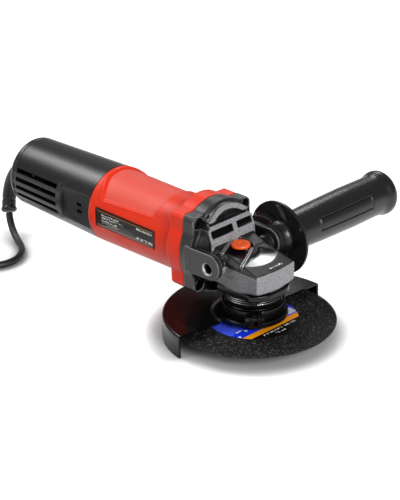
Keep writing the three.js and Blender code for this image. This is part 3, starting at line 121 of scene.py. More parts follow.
def six_volumes(points, faces):
    """Six times the volume the faces enclose, the sum of a . (b x c): negative inside out."""
    a, *others = (points[faces[:, k]] for k in range(faces.shape[1]))
    pairs = zip(others, others[1:])
    return sum(np.einsum("ij,ij->", a, np.cross(b, c)) for b, c in pairs)


def put(name, parts, stands_for, slot, body="housing", looks=None, sharp=35.0):
    """Makes one object of parts, each (points in mm, list of face arrays, material number),
    for the engineered solids it stands for. Its looks are its slot's finish unless given."""
    points, corners, sizes, numbers = [], [], [], []
    first = 0
    for own, groups, number in parts:
        own = np.asarray(own, float).reshape(-1, 3)
        inside_out = sum(six_volumes(own, faces) for faces in groups) < 0
        for faces in groups:
            faces = faces[:, ::-1] if inside_out else faces
            corners.append((faces + first).ravel())
            sizes.append(np.full(len(faces), faces.shape[1]))
            numbers.append(np.broadcast_to(number, len(faces)))
        points.append(own)
        first += len(own)
    corners, sizes = np.concatenate(corners), np.concatenate(sizes)
    mesh = bpy.data.meshes.new(name)
    mesh.vertices.add(first)
    mesh.vertices.foreach_set("co", (np.vstack(points) * MM).ravel())
    mesh.loops.add(len(corners))
    mesh.loops.foreach_set("vertex_index", corners.astype(np.int32))
    mesh.polygons.add(len(sizes))
    starts = np.concatenate([[0], np.cumsum(sizes)[:-1]])
    mesh.polygons.foreach_set("loop_start", starts.astype(np.int32))
    for look in looks or [FINISHES[slot]]:
        mesh.materials.append(look)
    mesh.polygons.foreach_set("material_index", np.concatenate(numbers).astype(np.int32))
    mesh.update(calc_edges=True)
    mesh.shade_smooth()
    mesh.set_sharp_from_angle(angle=math.radians(sharp))
    piece = bpy.data.objects.new(name, mesh)
    bpy.context.scene.collection.objects.link(piece)
    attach(piece, body)
    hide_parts(*stands_for.split())
    print(f"{name}: {first} points, {len(sizes)} faces")
    return piece


# %% [markdown]
# ## Grids, rings and outlines
# Nearly every piece here is a tube of rings: a lathe turns a profile into one, a sweep runs
# one along a path, and a housing is one whose radius changes with the angle. A tube ends in
# two fans, or closes on itself like a tyre.

# %% Small sums
def unit(vectors):
    """The vectors at length 1."""
    return vectors / np.linalg.norm(vectors, axis=-1, keepdims=True)


def round_turn(count):
    """That many angles evenly round a circle, without the last."""
    return np.linspace(0, 2 * np.pi, count, endpoint=False)


def soft_step(x, low, high):
    """0 up to low, 1 from high on, and t^2 (3 - 2t) between."""
    t = np.clip((x - low) / (high - low), 0, 1)
    return t * t * (3 - 2 * t)


def inside(value, low, high, soft=0.35):
    """1 within low..high, falling smoothly to 0 over soft at each side."""
    return soft_step(value, low - soft, low) * (1 - soft_step(value, high, high + soft))


def bell(x, middle, width):
    """exp(-((x - middle) / width)^2): 1 in the middle, 0.37 one width away."""
    return np.exp(-(((x - middle) / width) ** 2))


def signed_power(value, power):
    """|value|^power with the sign kept."""
    return np.sign(value) * np.abs(value) ** power


def at_x(x, ring):
    """A ring of (y, z) rows as points at one x."""
    return np.column_stack([np.full(len(ring), x), ring])


print("half way up a step:", soft_step(0.5, 0, 1))


# %% Tubes of rings
def grid_faces(rows, columns, wrap_rows=False):
    """Quads between neighbours of a rows x columns grid whose columns wrap round."""
    number = np.arange(rows * columns).reshape(rows, columns)
    if wrap_rows:
        number = np.vstack([number, number[:1]])
    number = np.hstack([number, number[:, :1]])
    quad = (number[:-1, :-1], number[:-1, 1:], number[1:, 1:], number[1:, :-1])
    return np.stack(quad, axis=-1).reshape(-1, 4)


def capped(grid, number=0):
    """A tube of rings whose two ends are closed by fans to their middles."""
    rows, columns, _ = grid.shape
    points = np.vstack([grid.reshape(-1, 3), grid[[0, -1]].mean(axis=1)])
    ring = np.arange(columns)
    after = np.roll(ring, -1)
    last = (rows - 1) * columns
    hub = np.full(columns, rows * columns)
    near_end = np.stack([hub, after, ring], axis=1)
    far_end = np.stack([hub + 1, last + ring, last + after], axis=1)
    return points, [grid_faces(rows, columns), np.vstack([near_end, far_end])], number


def tyre(grid, number=0):
    """A grid that closes on itself both ways."""
    rows, columns, _ = grid.shape
    return grid.reshape(-1, 3), [grid_faces(rows, columns, wrap_rows=True)], number


print("a ring of 8:", grid_faces(2, 8).shape)

# %% Lathe and eased outlines
PLACES = {"x": (2, 0, 1), "y": (0, 2, 1), "z": (0, 1, 2)}


def lathe(axis, profile, centre=(0.0, 0.0), segments=96, ripple=None):
    """Rings of the profile's (radius, height) rows about an axis through centre:
    (u, v, w) = (centre + radius (cos a, sin a), height). Along x, (u, v) is (y, z), along y
    it is (x, z), along z it is (x, y). ripple(angle, radius, height) may change the two."""
    profile = np.asarray(profile, float)
    angle = round_turn(segments) + np.zeros((len(profile), 1))
    radius = profile[:, :1] + 0 * angle
    height = profile[:, 1:] + 0 * angle
    if ripple:
        radius, height = ripple(angle, radius, height)
    along_u = centre[0] + radius * np.cos(angle)
    along_v = centre[1] + radius * np.sin(angle)
    return np.stack([along_u, along_v, height], axis=-1)[..., PLACES[axis]]


def eased(corners, radius, closed=False, steps=5):
    """Rounds an outline's corners: each becomes a quadratic curve that starts and ends
    radius away from it, or 0.45 of its shorter side where that is less."""
    p = np.asarray(corners, float)
    before, after = np.roll(p, 1, axis=0) - p, np.roll(p, -1, axis=0) - p
    length_before, length_after = (np.linalg.norm(v, axis=1) for v in (before, after))
    cut = np.minimum(radius, 0.45 * np.minimum(length_before, length_after))
    if not closed:
        cut[[0, -1]] = 0.0
    start = p + before * (cut / length_before)[:, None]
    end = p + after * (cut / length_after)[:, None]
    s = np.linspace(0, 1, steps)[None, :, None]
    curve = (1 - s) ** 2 * start[:, None] + 2 * s * (1 - s) * p[:, None] + s**2 * end[:, None]
    curve = curve.reshape(-1, p.shape[1])
    moved = np.linalg.norm(np.diff(curve, axis=0), axis=1) > 1e-6
    return curve[np.concatenate([[True], moved])]


SQUARE = [(0, 0), (9, 0), (9, 9), (0, 9)]
print("a square with eased corners:", len(eased(SQUARE, 1.0, closed=True)), "points")

# %% [markdown]
# ## Nodes
# Materials are made of a few nodes each. One function adds a node of any kind with its
# settings and links, one starts a material with a pattern space in millimetres, and one
# turns a hex colour into the linear values that the shader wants.

# %% Colours and nodes
def colour(text):
    """Linear RGBA of an sRGB hex colour: c / 12.92, or ((c + 0.055) / 1.055) ** 2.4."""
    value = np.array([int(text[k : k + 2], 16) / 255 for k in (1, 3, 5)])
    linear = np.where(value <= 0.04045, value / 12.92, ((value + 0.055) / 1.055) ** 2.4)
    return (*linear.tolist(), 1.0)


def feed(material, target, links):
    """Links each output to the target's input of that name or number."""
    for key, output in links.items():
        material.node_tree.links.new(output, target.inputs[key])


def add_node(material, kind, settings=None, links=None):
    """Adds a node. A setting is a property of its own or the value of an input."""
    made = material.node_tree.nodes.new("ShaderNode" + kind)
    for key, value in (settings or {}).items():
        if isinstance(key, str) and hasattr(made, key):
            setattr(made, key, value)
        else:
            made.inputs[key].default_value = value
    feed(material, made, links or {})
    return made


def start_material(name, values):
    """A material, its shader with plain values set, and object coordinates in millimetres."""
    material = bpy.data.materials.new(name)
    material.use_nodes = True
    shader = material.node_tree.nodes["Principled BSDF"]
    for key, value in values.items():
        shader.inputs[key].default_value = value
    place = add_node(material, "TexCoord")
    scale = {"Scale": (1 / MM, 1 / MM, 1 / MM)}
    mapped = add_node(material, "Mapping", scale, {"Vector": place.outputs["Object"]})
    return material, shader, mapped.outputs["Vector"]


print("mid grey is", round(colour("#808080")[0], 3))


# %% A plain finish
BLEND = {"data_type": "RGBA"}  # of two colours: input 0 the share, 6 the one under, 7 over
MIDDLE = {"From Min": 0.3, "From Max": 0.7}  # where most of a noise lies


def grained(name, hue, rough, spread, grain, depth, patch=25.0, shade=0.12, **values):
    """A plain finish: random grain of that size and depth (mm) in relief, and slow patches
    that change the roughness by +-spread and darken the colour by up to shade."""
    material, shader, place = start_material(name, {"Base Color": colour(hue), **values})
    fine = {"Scale": 1 / grain, "Detail": 2.0}
    noise = add_node(material, "TexNoise", fine, {"Vector": place}).outputs[0]
    relief = {"Strength": 1.0, "Distance": depth * MM}
    bump = add_node(material, "Bump", relief, {"Height": noise}).outputs[0]
    slow = {"Scale": 1 / patch, "Detail": 4.0}
    clouds = add_node(material, "TexNoise", slow, {"Vector": place}).outputs[0]
    limits = {**MIDDLE, "To Min": rough - spread, "To Max": rough + spread}
    rougher = add_node(material, "MapRange", limits, {"Value": clouds}).outputs[0]
    lit = colour(hue)
    worn = (*(c * (1 - shade) for c in lit[:3]), 1.0)
    tint = add_node(material, "Mix", {**BLEND, 6: worn, 7: lit}, {0: clouds}).outputs[2]
    feed(material, shader, {"Normal": bump, "Roughness": rougher, "Base Color": tint})
    return material


print("colours blend as", BLEND["data_type"])

# %% [markdown]
# ## Plastics, rubber and steel
# Housings are moulded nylon with a faint spark-eroded grain, the gear case is cast and
# sprayed with a fine texture paint, and the small parts are blackened or ground steel. They
# are kept by the slots of the engineered model, so that its inner parts can have them too.
# A real grain is a few hundredths of a millimetre; from this far it only shows as sheen, so
# the patterns here are coarser, 0.4 to 1.2 mm.

# %% Plain finishes
RED, BLACK, STEEL = "#E2300F", "#111113", {"Metallic": 1.0}
SHEEN = "Specular IOR Level"
FINISHES = {
    "red_nylon": grained(
        "moulded_red_nylon", RED, 0.42, 0.05, 0.8, 0.012, shade=0.05, **{SHEEN: 0.25}
    ),
    "orange_nylon": grained("moulded_orange_nylon", "#FA5C14", 0.34, 0.04, 0.8, 0.01, shade=0.04),
    "black_nylon": grained("moulded_black_nylon", BLACK, 0.34, 0.06, 0.8, 0.07, 1.2, 0.35),
    "cord_rubber": grained("cord_jacket", "#0C0C0D", 0.50, 0.05, 0.7, 0.02, 9.0),
    "cast_painted": grained("sprayed_texture_paint", "#1B1B1D", 0.36, 0.07, 0.7, 0.08),
    "painted_steel": grained(
        "baked_black_enamel", "#070708", 0.22, 0.05, 1.2, 0.01, shade=0.2, **{SHEEN: 0.3}
    ),
    "black_steel": grained("blackened_steel", "#2A2A2C", 0.36, 0.08, 0.7, 0.02, **STEEL),
    "ground_steel": grained("ground_steel", "#A4A6A9", 0.26, 0.07, 0.9, 0.01, **STEEL),
    "soft_black": grained("soft_black_rubber", "#151516", 0.60, 0.05, 0.8, 0.03),
    "brass": grained("turned_brass", "#D9B35A", 0.25, 0.05, 0.6, 0.01, **STEEL),
    "copper": grained("enamelled_copper", "#B5582E", 0.30, 0.06, 0.9, 0.10, **STEEL),
    "bronze": grained("sintered_bronze", "#9C7A3C", 0.45, 0.08, 0.5, 0.05, **STEEL),
    "carbon": grained("pressed_carbon", "#1C1C1D", 0.62, 0.05, 0.4, 0.03),
}
print("materials", len(bpy.data.materials))

# %% [markdown]
# ## The power cord
# The lead leaves through a rubber sleeve, drops to the bench, turns once and is wound up
# with its tie and plug to the left. A cord is one round section swept along a smooth line, so
# its route is a list of points where it lies loose, and a loop for the coil:
# four turns winding inwards on the bench and three and a half winding out on top of them.
# A Bezier curve with a bevel would do as well; a swept grid keeps the length exact.

# %% The route
def through(points, between=6):
    """A smooth line through the points: on the span from p1 to p2, the Catmull-Rom cubic
    p1 + t m1 + t^2 (3d - 2m1 - m2) + t^3 (m1 + m2 - 2d), with d = p2 - p1 and slopes
    m1 = (p2 - p0) / 2 and m2 = (p3 - p1) / 2."""
    p = np.asarray(points, float)
    p = np.vstack([2 * p[0] - p[1], p, 2 * p[-1] - p[-2]])
    d = (p[2:-1] - p[1:-2])[:, None]
    m1 = ((p[2:-1] - p[:-3]) / 2)[:, None]
    m2 = ((p[3:] - p[1:-2]) / 2)[:, None]
    t = np.linspace(0, 1, between, endpoint=False)[None, :, None]
    start = p[1:-2][:, None]
    line = start + t * m1 + t**2 * (3 * d - 2 * m1 - m2) + t**3 * (m1 + m2 - 2 * d)
    return np.vstack([line.reshape(-1, 3), p[-2]])


CORD = 5.8
ROW = CORD + 0.2
BENCH = 0.2 + CORD / 2
COIL = np.array([-268.0, -125.2])
OUTER_TURN = 42.0
TURNS = 7.5

loose = [
    (-270.2, -11.1, 18.2), (-266.4, -13.4, 13.4), (-261.0, -16.0, 9.0), (-254.4, -18.8, 5.6),
    (-247.0, -21.8, 3.7), (-239.6, -25.4, BENCH), (-232.4, -30.4, BENCH), (-226.4, -37.0, BENCH),
    (-222.6, -45.0, BENCH), (-221.8, -53.2, BENCH), (-224.0, -61.0, BENCH),
    (-228.8, -68.0, BENCH), (-235.8, -74.0, BENCH), (-244.6, -78.2, BENCH),
    (-254.6, -81.2, BENCH),
]
turn_count = np.linspace(0.04, TURNS, 190)
column = np.where(turn_count < 4, np.minimum(turn_count, 3), np.clip(7 - turn_count, 0, 3))
rising = soft_step(turn_count, 3.0, 3.55)
tucked = 1.4 * np.sin(np.pi * np.clip(turn_count - 3.0, 0, 1))
coil_radius = OUTER_TURN - ROW * column - tucked
coil_angle = np.pi / 2 + 2 * np.pi * turn_count
coil = COIL + np.stack([np.cos(coil_angle), np.sin(coil_angle)], axis=1) * coil_radius[:, None]
coil = np.column_stack([coil, BENCH + ROW * rising])
coil[:, 2] += bell(coil[:, 1], COIL[1], 9.0) * (coil[:, 0] < COIL[0])
to_plug = [(-262.0, -167.0, BENCH + ROW), (-252.0, -166.5, 10.6), (-243.0, -166.0, 12.2),
           (-238.9, -166.0, 12.4)]
route = np.vstack([through([*loose, *coil[:2]])[:-7], coil[1:-1], through([coil[-1], *to_plug])])
steps = np.linalg.norm(np.diff(route, axis=0), axis=1)
route = route[np.concatenate([[True], steps > 1e-3])]


# %% A pipe along a line
def pipe(line, radius, sides=20, reference=(0.0, 1.0, 0.0)):
    """Rings across a line: centre + radius (cos a side + sin a over), where side is the unit
    tangent x reference and over completes the square. reference may change along the line."""
    tangent = unit(np.gradient(line, axis=0))
    side = unit(np.cross(tangent, reference))
    over = np.cross(side, tangent)
    angle = round_turn(sides)[None, :, None]
    spread = np.cos(angle) * side[:, None] + np.sin(angle) * over[:, None]
    return line[:, None] + np.broadcast_to(radius, len(line))[:, None, None] * spread


fall = soft_step(np.linalg.norm(route - route[0], axis=1), 8, 40)[:, None]
cross_axis = (1 - fall) * np.array([0.0, 1.0, 0.0]) + fall * np.array([0.0, 0.0, 1.0])
lead = capped(pipe(route, CORD / 2, reference=cross_axis))
power_cord = put("power_cord_lead", [lead], "power_cord cord_coil", "cord_rubber")

# %% [markdown]
# ## Sleeve, plug and tie
# The sleeve is one rubber moulding, thick where it enters the cover and ending in a rolled
# lip. The plug is a two-pin moulded one: a rounded body that narrows to a ribbed neck. Both
# are profiles swept along a short line; the tie is a flat strap round all the turns.

# %% Sleeve
sleeve_points = [
    (-244.1, 0.0, 61.0), (-250.5, 0.0, 61.0), (-258.5, -0.4, 59.4), (-267.5, -1.4, 53.6),
    (-273.1, -3.0, 44.4), (-274.9, -5.2, 34.4), (-273.5, -8.0, 25.2), (-270.7, -10.6, 19.4),
]
sleeve_line = through(sleeve_points, 10)
share = np.linspace(0, 1, len(sleeve_line))
sleeve_radius = 5.4 + 1.2 * soft_step(share, 0.08, 0.14) - 0.9 * soft_step(share, 0.2, 0.9)
sleeve_radius += 0.9 * bell(share, 0.955, 0.03) - 0.35 * bell(share, 0.80, 0.015)
sleeve_radius[-1] -= 0.7
sleeve_line = np.vstack([sleeve_line, sleeve_line[-1]])
sleeve_radius = np.append(sleeve_radius, CORD / 2 + 0.05)
sleeve_line[-1] += (sleeve_line[-2] - sleeve_line[-3]) * 0.02
put("cord_sleeve", [capped(pipe(sleeve_line, sleeve_radius, 28))], "strain_relief", "cord_rubber")

# %% Plug
PLUG_Y, PLUG_Z, PLUG_FRONT = -166.0, 12.4, -184.9


def plug_section(x, half_width, half_height, power):
    """A squarish ring: (y, z) = centre + (w |cos a|^k, h |sin a|^k) with the signs kept."""
    angle = round_turn(48)
    y = PLUG_Y + half_width * signed_power(np.cos(angle), power)
    z = PLUG_Z + half_height * signed_power(np.sin(angle), power)
    return at_x(x, np.stack([y, z], axis=1))


plug_stations = [
    (0.0, 15.2, 10.4, 0.62), (-0.7, 16.9, 11.8, 0.6), (-2.5, 17.5, 12.1, 0.6),
    (-14.0, 17.3, 12.0, 0.6), (-15.0, 16.2, 11.0, 0.62), (-18.0, 16.0, 10.8, 0.62),
    (-19.0, 16.9, 11.6, 0.62), (-27.0, 15.0, 10.6, 0.7), (-32.0, 11.0, 8.8, 0.8),
    (-35.0, 7.2, 6.6, 1.0),
]
for ridge in range(6):
    near, width = -36.5 - 3.2 * ridge, 6.0 - 0.42 * ridge
    for back, inset in ((0.0, 0.0), (0.4, 0.9), (1.5, 0.9), (1.9, 0.2)):
        plug_stations.append((near - back, width - inset, width - inset, 1.0))
plug_stations.append((-56.0, CORD / 2 + 0.1, CORD / 2 + 0.1, 1.0))
plug_body = np.array([plug_section(PLUG_FRONT + s[0], *s[1:]) for s in plug_stations])
plug = put("plug_body", [capped(plug_body)], "plug", "cord_rubber")


# %% Tie
TIE_WIDTH, TIE_THICK = 11.0, 0.9
TIE_HALF, TIE_X, TIE_Z = (12.9, 6.0), COIL[0] - 33.0, 7.15


def tie_strap():
    """A flat strap bent round the coil's section, a rounded oblong with half sides a and b:
    (a |cos t|^0.4, b |sin t|^0.4) with the signs of cos t and sin t."""
    t = round_turn(72)
    bend_x, bend_z = signed_power(np.cos(t), 0.4), signed_power(np.sin(t), 0.4)
    grid = np.empty((72, 4, 3))
    corners = [(TIE_THICK, -0.5), (TIE_THICK, 0.5), (0.0, 0.5), (0.0, -0.5)]
    for k, (outer, edge) in enumerate(corners):
        grid[:, k, 0] = TIE_X + bend_x * (TIE_HALF[0] + outer)
        grid[:, k, 1] = COIL[1] + edge * TIE_WIDTH
        grid[:, k, 2] = TIE_Z + bend_z * (TIE_HALF[1] + outer)
    return tyre(grid)


tie = put("coil_tie", [tie_strap()], "cord_tie", "cord_rubber", looks=[FINISHES["soft_black"]])

# %% [markdown]
# ## The rear cover
# A moulded shell closes the tail of the motor: a rounded end with a hole for the lead, four
# cooling slots along each side, and on the near side a flat with a switch plate's two small
# clip windows. Cutting slots with booleans leaves ragged shading, so the shell is one grid
# that runs round its own wall, outside and back inside, and the slots are cells left out,
# with their walls put in between the two skins.

# %% The shell's grid
AXIS_Z = 61.0


def stations(edges, step):
    """Ordered stations that hit every edge, with even steps no longer than step between."""
    edges = np.unique(np.round(edges, 4))
    spans = [
        np.linspace(a, b, max(1, math.ceil((b - a) / step)), endpoint=False)
        for a, b in zip(edges[:-1], edges[1:])
    ]
    return np.concatenate([*spans, edges[-1:]])


VENT_X = (-238.0, -188.0)
VENT_LIFTS = (-21.6, -7.1, 7.1, 21.6)
VENT_HALF = 3.75
CLIP_X = (-165.0, -159.4)
CLIP_LIFTS = ((-8.2, -2.6), (4.2, 9.8))
FLAT_LIFT, LIP_LIFTS = 25.0, (25.8, 26.8)
TAIL_X, TAIL_R, TAIL_ROUND, FLARE, COVER_WALL = -242.5, 28.2, 5.0, 2.6 / 94.4, 2.4

side_edges = [-FLAT_LIFT - 0.7, -FLAT_LIFT, FLAT_LIFT, 25.4, *LIP_LIFTS, 27.3]
vent_edges = [s * (VENT_HALF + more) for s in (-1, 1) for more in (0.0, 0.9)]
side_edges += [*np.add.outer(VENT_LIFTS, vent_edges).ravel(), *np.ravel(CLIP_LIFTS)]
near_edges = [180.0 - a for a in side_edges]
round_stations = stations([*side_edges, *near_edges, 90.0, 269.0, -90.0], 1.6)
round_stations = np.unique(np.mod(round_stations[:-1], 360.0))
long_edges = [TAIL_X, -241.0, -240.0, *VENT_X, -186.2, -184.8, -183.2, -182.7, -182.0, *CLIP_X]
long_stations = stations([*long_edges, -149.0, -148.1], 1.5)
print("cover grid", len(long_stations), "x", len(round_stations))


# %% Its skins
def cover_skins():
    """Outer and inner skin as functions of the angle round and the station along:
    a cone outside, less the grooves and the near side's flat, plus a small lip above that,
    and a wall's thickness less inside."""
    angle = np.radians(round_stations)[None, :]
    x = long_stations[:, None]
    lift = np.degrees(np.arcsin(np.sin(angle)))
    near = np.cos(angle) < 0
    radius = TAIL_R + FLARE * (x - TAIL_X) + 0 * angle
    inner = radius - COVER_WALL
    between = np.zeros_like(radius)
    for vent in VENT_LIFTS:
        between += inside(lift, vent - VENT_HALF, vent + VENT_HALF, 0.5)
    radius = radius - 0.7 * between * (x < VENT_X[0])
    radius -= 0.35 * inside(x, -241.0, -240.4, 0.25)
    radius -= 0.7 * inside(x, -184.6, -183.4, 0.3) * inside(lift, 21.0, 30.0, 0.8) * near
    radius -= 0.6 * inside(x, -184.6, -183.6, 0.3) * inside(lift, -30.0, -24.0, 0.8) * near
    flat = 27.4 / np.maximum(np.abs(np.cos(angle)), 0.5)
    in_flat = inside(x, -182.0, -140.0, 0.7) * inside(lift, -FLAT_LIFT, FLAT_LIFT, 0.7) * near
    radius = radius + in_flat * np.minimum(flat - radius, 0)
    radius += 0.6 * inside(x, -182.0, -149.6, 0.5) * inside(lift, *LIP_LIFTS, 0.45) * near
    return radius, np.minimum(inner, radius - 1.6)


def cover_grid():
    """The two skins joined by the rounded tail and the front lip, as rows of one tyre."""
    outer, inner = cover_skins()
    n = len(round_stations)
    rows = [(np.full(n, r), x) for r, x in ((5.7, -247.3), (5.9, -247.5), (14.0, -247.5))]
    for t in np.radians([0, 10, 25, 40, 55, 70, 82]):
        bulge = TAIL_R - TAIL_ROUND * (1 - np.sin(t))
        rows.append((np.full(n, bulge), TAIL_X - TAIL_ROUND * np.cos(t)))
    first = len(rows)
    rows += [(outer[k], x) for k, x in enumerate(long_stations)]
    back = len(rows)
    rows += [(inner[-1 - k], x) for k, x in enumerate(long_stations[::-1])]
    rows += [(np.full(n, r), x) for r, x in ((25.0, -243.9), (22.6, -245.1), (5.7, -245.1))]
    radius = np.array([r for r, _ in rows])
    angle = np.radians(round_stations)[None, :]
    height = np.array([x for _, x in rows])[:, None] + 0 * angle
    grid = np.stack([height, radius * np.cos(angle), AXIS_Z + radius * np.sin(angle)], axis=-1)
    return grid, first, back


print("cover skins", cover_skins()[0].shape)


# %% Its openings
def open_cells():
    """True for the cells (station along, station round) that are slots or clip windows."""
    mid_x = (long_stations[:-1] + long_stations[1:])[:, None] / 2
    a = round_stations
    middle = a + np.mod(np.roll(a, -1) - a, 360.0) / 2
    lift = np.degrees(np.arcsin(np.sin(np.radians(middle))))[None, :]
    near = np.cos(np.radians(middle))[None, :] < 0
    cut = np.zeros((len(long_stations) - 1, len(a)), bool)
    for vent in VENT_LIFTS:
        cut |= (mid_x > VENT_X[0]) & (mid_x < VENT_X[1]) & (np.abs(lift - vent) < VENT_HALF)
    for low, high in CLIP_LIFTS:
        cut |= (mid_x > CLIP_X[0]) & (mid_x < CLIP_X[1]) & (lift > low) & (lift < high) & near
    return cut


print("cells left out", int(open_cells().sum()))


# %% The cover
def pierced(grid, first, back, cut):
    """A tyre without its cut cells. Row first + i outside and row back + last - i inside face
    each other, and each edge of a cut cell gets a wall between them."""
    rows, columns, _ = grid.shape
    last = cut.shape[0]
    faces = grid_faces(rows, columns, wrap_rows=True).reshape(rows, columns, 4)
    keep = np.ones((rows, columns), bool)
    keep[first : first + last] = ~cut
    keep[back : back + last] = ~cut[::-1]
    number = np.arange(rows * columns).reshape(rows, columns)
    outside = number[first : first + last + 1]
    within = number[back : back + last + 1][::-1]
    padded = np.zeros((last + 2, columns), bool)
    padded[1:-1] = cut

    def walls(edges, is_cut, step_i, step_j):
        """A quad between the skins at each edge, facing into the opening."""
        i, j = np.nonzero(edges)
        k, m = i + step_i, (j + step_j) % columns
        quad = np.stack([outside[i, j], outside[k, m], within[k, m], within[i, j]], axis=1)
        return np.where((is_cut[i, j] ^ (step_i > 0))[:, None], quad, quad[:, ::-1])

    across = walls(padded[1:] != padded[:-1], padded[1:], 0, 1)
    along = walls(cut != np.roll(cut, 1, axis=1), cut, 1, 0)
    return grid.reshape(-1, 3), [faces[keep], np.vstack([across, along])], 0


cover = pierced(*cover_grid(), open_cells())
put("rear_cover_shell", [cover], "rear_cover", "black_nylon", sharp=28.0)

# %% [markdown]
# ## The red motor housing
# A long nylon tube with a grip panel sunk into its top, rough-textured so that a glove
# holds, and a squarer collar where the gear case bolts on. A subdivided box could be pushed
# into this shape by hand; a radius written as a function of the angle round and the place
# along is easier to keep true to size, and its mesh is as fine as its finest edge.

# %% The collar's reach
COLLAR_Z = 62.4
FLANGE = {"oval": (34.2, 36.6), "square": (30.3, 30.8), "chamfer": 3.2}


def collar_reach(angle):
    """How far the collar reaches from its middle at an angle: the larger of an oval and a
    square with its corners cut off, the square's corners slightly eased."""
    c, s = np.abs(np.cos(angle)) + 1e-9, np.abs(np.sin(angle)) + 1e-9
    oval = 1 / np.hypot(c / FLANGE["oval"][0], s / FLANGE["oval"][1])
    sides = [
        FLANGE["square"][0] / c,
        FLANGE["square"][1] / s,
        (sum(FLANGE["square"]) - FLANGE["chamfer"]) / (c + s),
    ]
    square = -np.log(sum(np.exp(-side / 0.35) for side in sides)) * 0.35
    return np.log(np.exp((oval - 30) / 0.3) + np.exp((square - 30) / 0.3)) * 0.3 + 30


print("collar reaches", np.round(collar_reach(np.radians([0, 45, 90])), 1))

# %% Its grip panel
PLATE_X, PLATE_Z, PLATE_BACK = (-141.0, -74.6), (54.0, 70.0), 29.0
GRIP_X = (-135.5, -77.5)
GRIP_EDGE = (31.0, 37.0)


def grip_panel(x, lift):
    """How far a place along and an angle above horizontal is in the sunk panel, and on the
    lip along its sides and behind it, both 0 to 1."""
    border = np.interp(x, [GRIP_X[0], -80.0], GRIP_EDGE)
    rear = GRIP_X[0] - 7.0 * soft_step(lift, 30, 75)
    front = GRIP_X[1] - 3.0 * (1 - soft_step(lift, 38, 66))
    along = soft_step(x, rear - 0.9, rear + 0.9) * (1 - soft_step(x, front - 1.2, front))
    side_lip = bell(lift, border - 3.4, 1.6) * inside(x, -133.0, -84.0, 4.0)
    lip = np.maximum(side_lip, bell(x, rear - 2.6, 1.5) * soft_step(lift, 26, 34))
    return along * soft_step(lift, border - 1.8, border + 1.2), lip


print("panel at the top, midway:", np.round(grip_panel(-100.0, 80.0), 2))


# %% The motor's skin
def motor_skin():
    """R(angle, x): 30.8 at the rear to 30.0 at the front, plus the panel's lip, less the
    panel, blending into the collar over 5.5 mm; then the front face and the bore."""
    edges = [-148.0, -147.4, *PLATE_X, GRIP_X[0], -90.0, *GRIP_X, -61.5, -56.0]
    x = np.concatenate([stations(edges, 0.8)[:-1], stations([-56.0, -44.1], 1.4)])
    angle = round_turn(360)
    xx, aa = np.meshgrid(x, angle, indexing="ij")
    lift = 90 - np.abs(np.degrees(np.mod(aa - np.pi / 2 + np.pi, 2 * np.pi) - np.pi))
    tube = np.interp(xx, [-148.0, -60.0], [30.8, 30.0])
    sunk, lip = grip_panel(xx, lift)
    tube = tube + 0.45 * lip - 1.4 * sunk
    tube -= 0.35 * (1 - soft_step(xx, -148.0, -147.3))
    y, z = tube * np.cos(aa), AXIS_Z + tube * np.sin(aa)
    seat = inside(xx, *PLATE_X, 0.3) * inside(z, *PLATE_Z, 0.3)
    y = y + seat * np.maximum(-PLATE_BACK - y, 0) * (y < 0)
    reach = collar_reach(aa) - 0.3
    blend = soft_step(xx, -61.5, -56.0) ** 1.5
    y = y + blend * (reach * np.cos(aa) - y)
    z = z + blend * (COLLAR_Z + reach * np.sin(aa) - z)
    outer = np.stack([xx, y, z], axis=-1)
    rim = outer[-1:] * [0, 1, 1] + [-43.5, 0, 0]
    middle = np.array([0.0, 0.0, AXIS_Z])
    rim = rim + (middle - rim * [0, 1, 1]) * [0, 0.016, 0.016]
    ring = np.stack([0 * angle, 27.5 * np.cos(angle), AXIS_Z + 27.5 * np.sin(angle)], axis=-1)
    bore = [ring + [x, 0, 0] for x in (-43.5, -90.0, -148.0)]
    grid = np.concatenate([outer, rim, np.array(bore)])
    panel = np.zeros(grid.shape[:2], bool)
    panel[: len(x)] = sunk > 0.75
    return grid, panel


# %% The housing
grid, panel = motor_skin()
points, faces, _ = tyre(grid)
rough = (panel & np.roll(panel, -1, 0) & np.roll(panel, -1, 1)).ravel().astype(int)
red_grip = grained("red_nylon_rough_grip", "#DE4430", 0.52, 0.05, 0.75, 0.16, shade=0.04)
red_looks = [FINISHES["red_nylon"], red_grip]
put("motor_housing_shell", [(points, faces, rough)], "motor_housing", "red_nylon",
    looks=red_looks, sharp=40.0)

# %% [markdown]
# ## The cast gear case
# One aluminium casting: a squarish flange, a throat that narrows to the gear head, the
# drum over the spindle bearing, an arch with the exhaust grille and an ear on each side for
# the handle. Its walls run into each other in soft fillets, which a radius function can't
# give. It is made the way a foundry pattern is: solids described by how far a point lies
# outside them, blended with a fillet where they meet and cut where the real one is cut.
# The skin is then found on a fine lattice and every point of it is slid onto the surface.

# %% Blending solids
def near_of(a, b, fillet):
    """Union: the smaller distance, rounded over a fillet, min - h^2 fillet / 4 with
    h = max(0, 1 - |a - b| / fillet)."""
    h = np.maximum(1 - np.abs(a - b) / fillet, 0)
    return np.minimum(a, b) - h * h * fillet / 4


def far_of(a, b, fillet):
    """Intersection: the larger distance, rounded the other way."""
    return -near_of(-a, -b, fillet)


def bounded(*sides, edge=0.8):
    """The solid inside every side."""
    return reduce(lambda solid, side: far_of(solid, side, edge), sides)


def joined(solid, *more):
    """The solid with each (fillet, other solid) added."""
    return reduce(lambda whole, one: near_of(whole, one[1], one[0]), more, solid)


def without(solid, *cuts):
    """The solid less each (fillet, cut)."""
    return reduce(lambda whole, one: far_of(whole, -one[1], one[0]), cuts, solid)


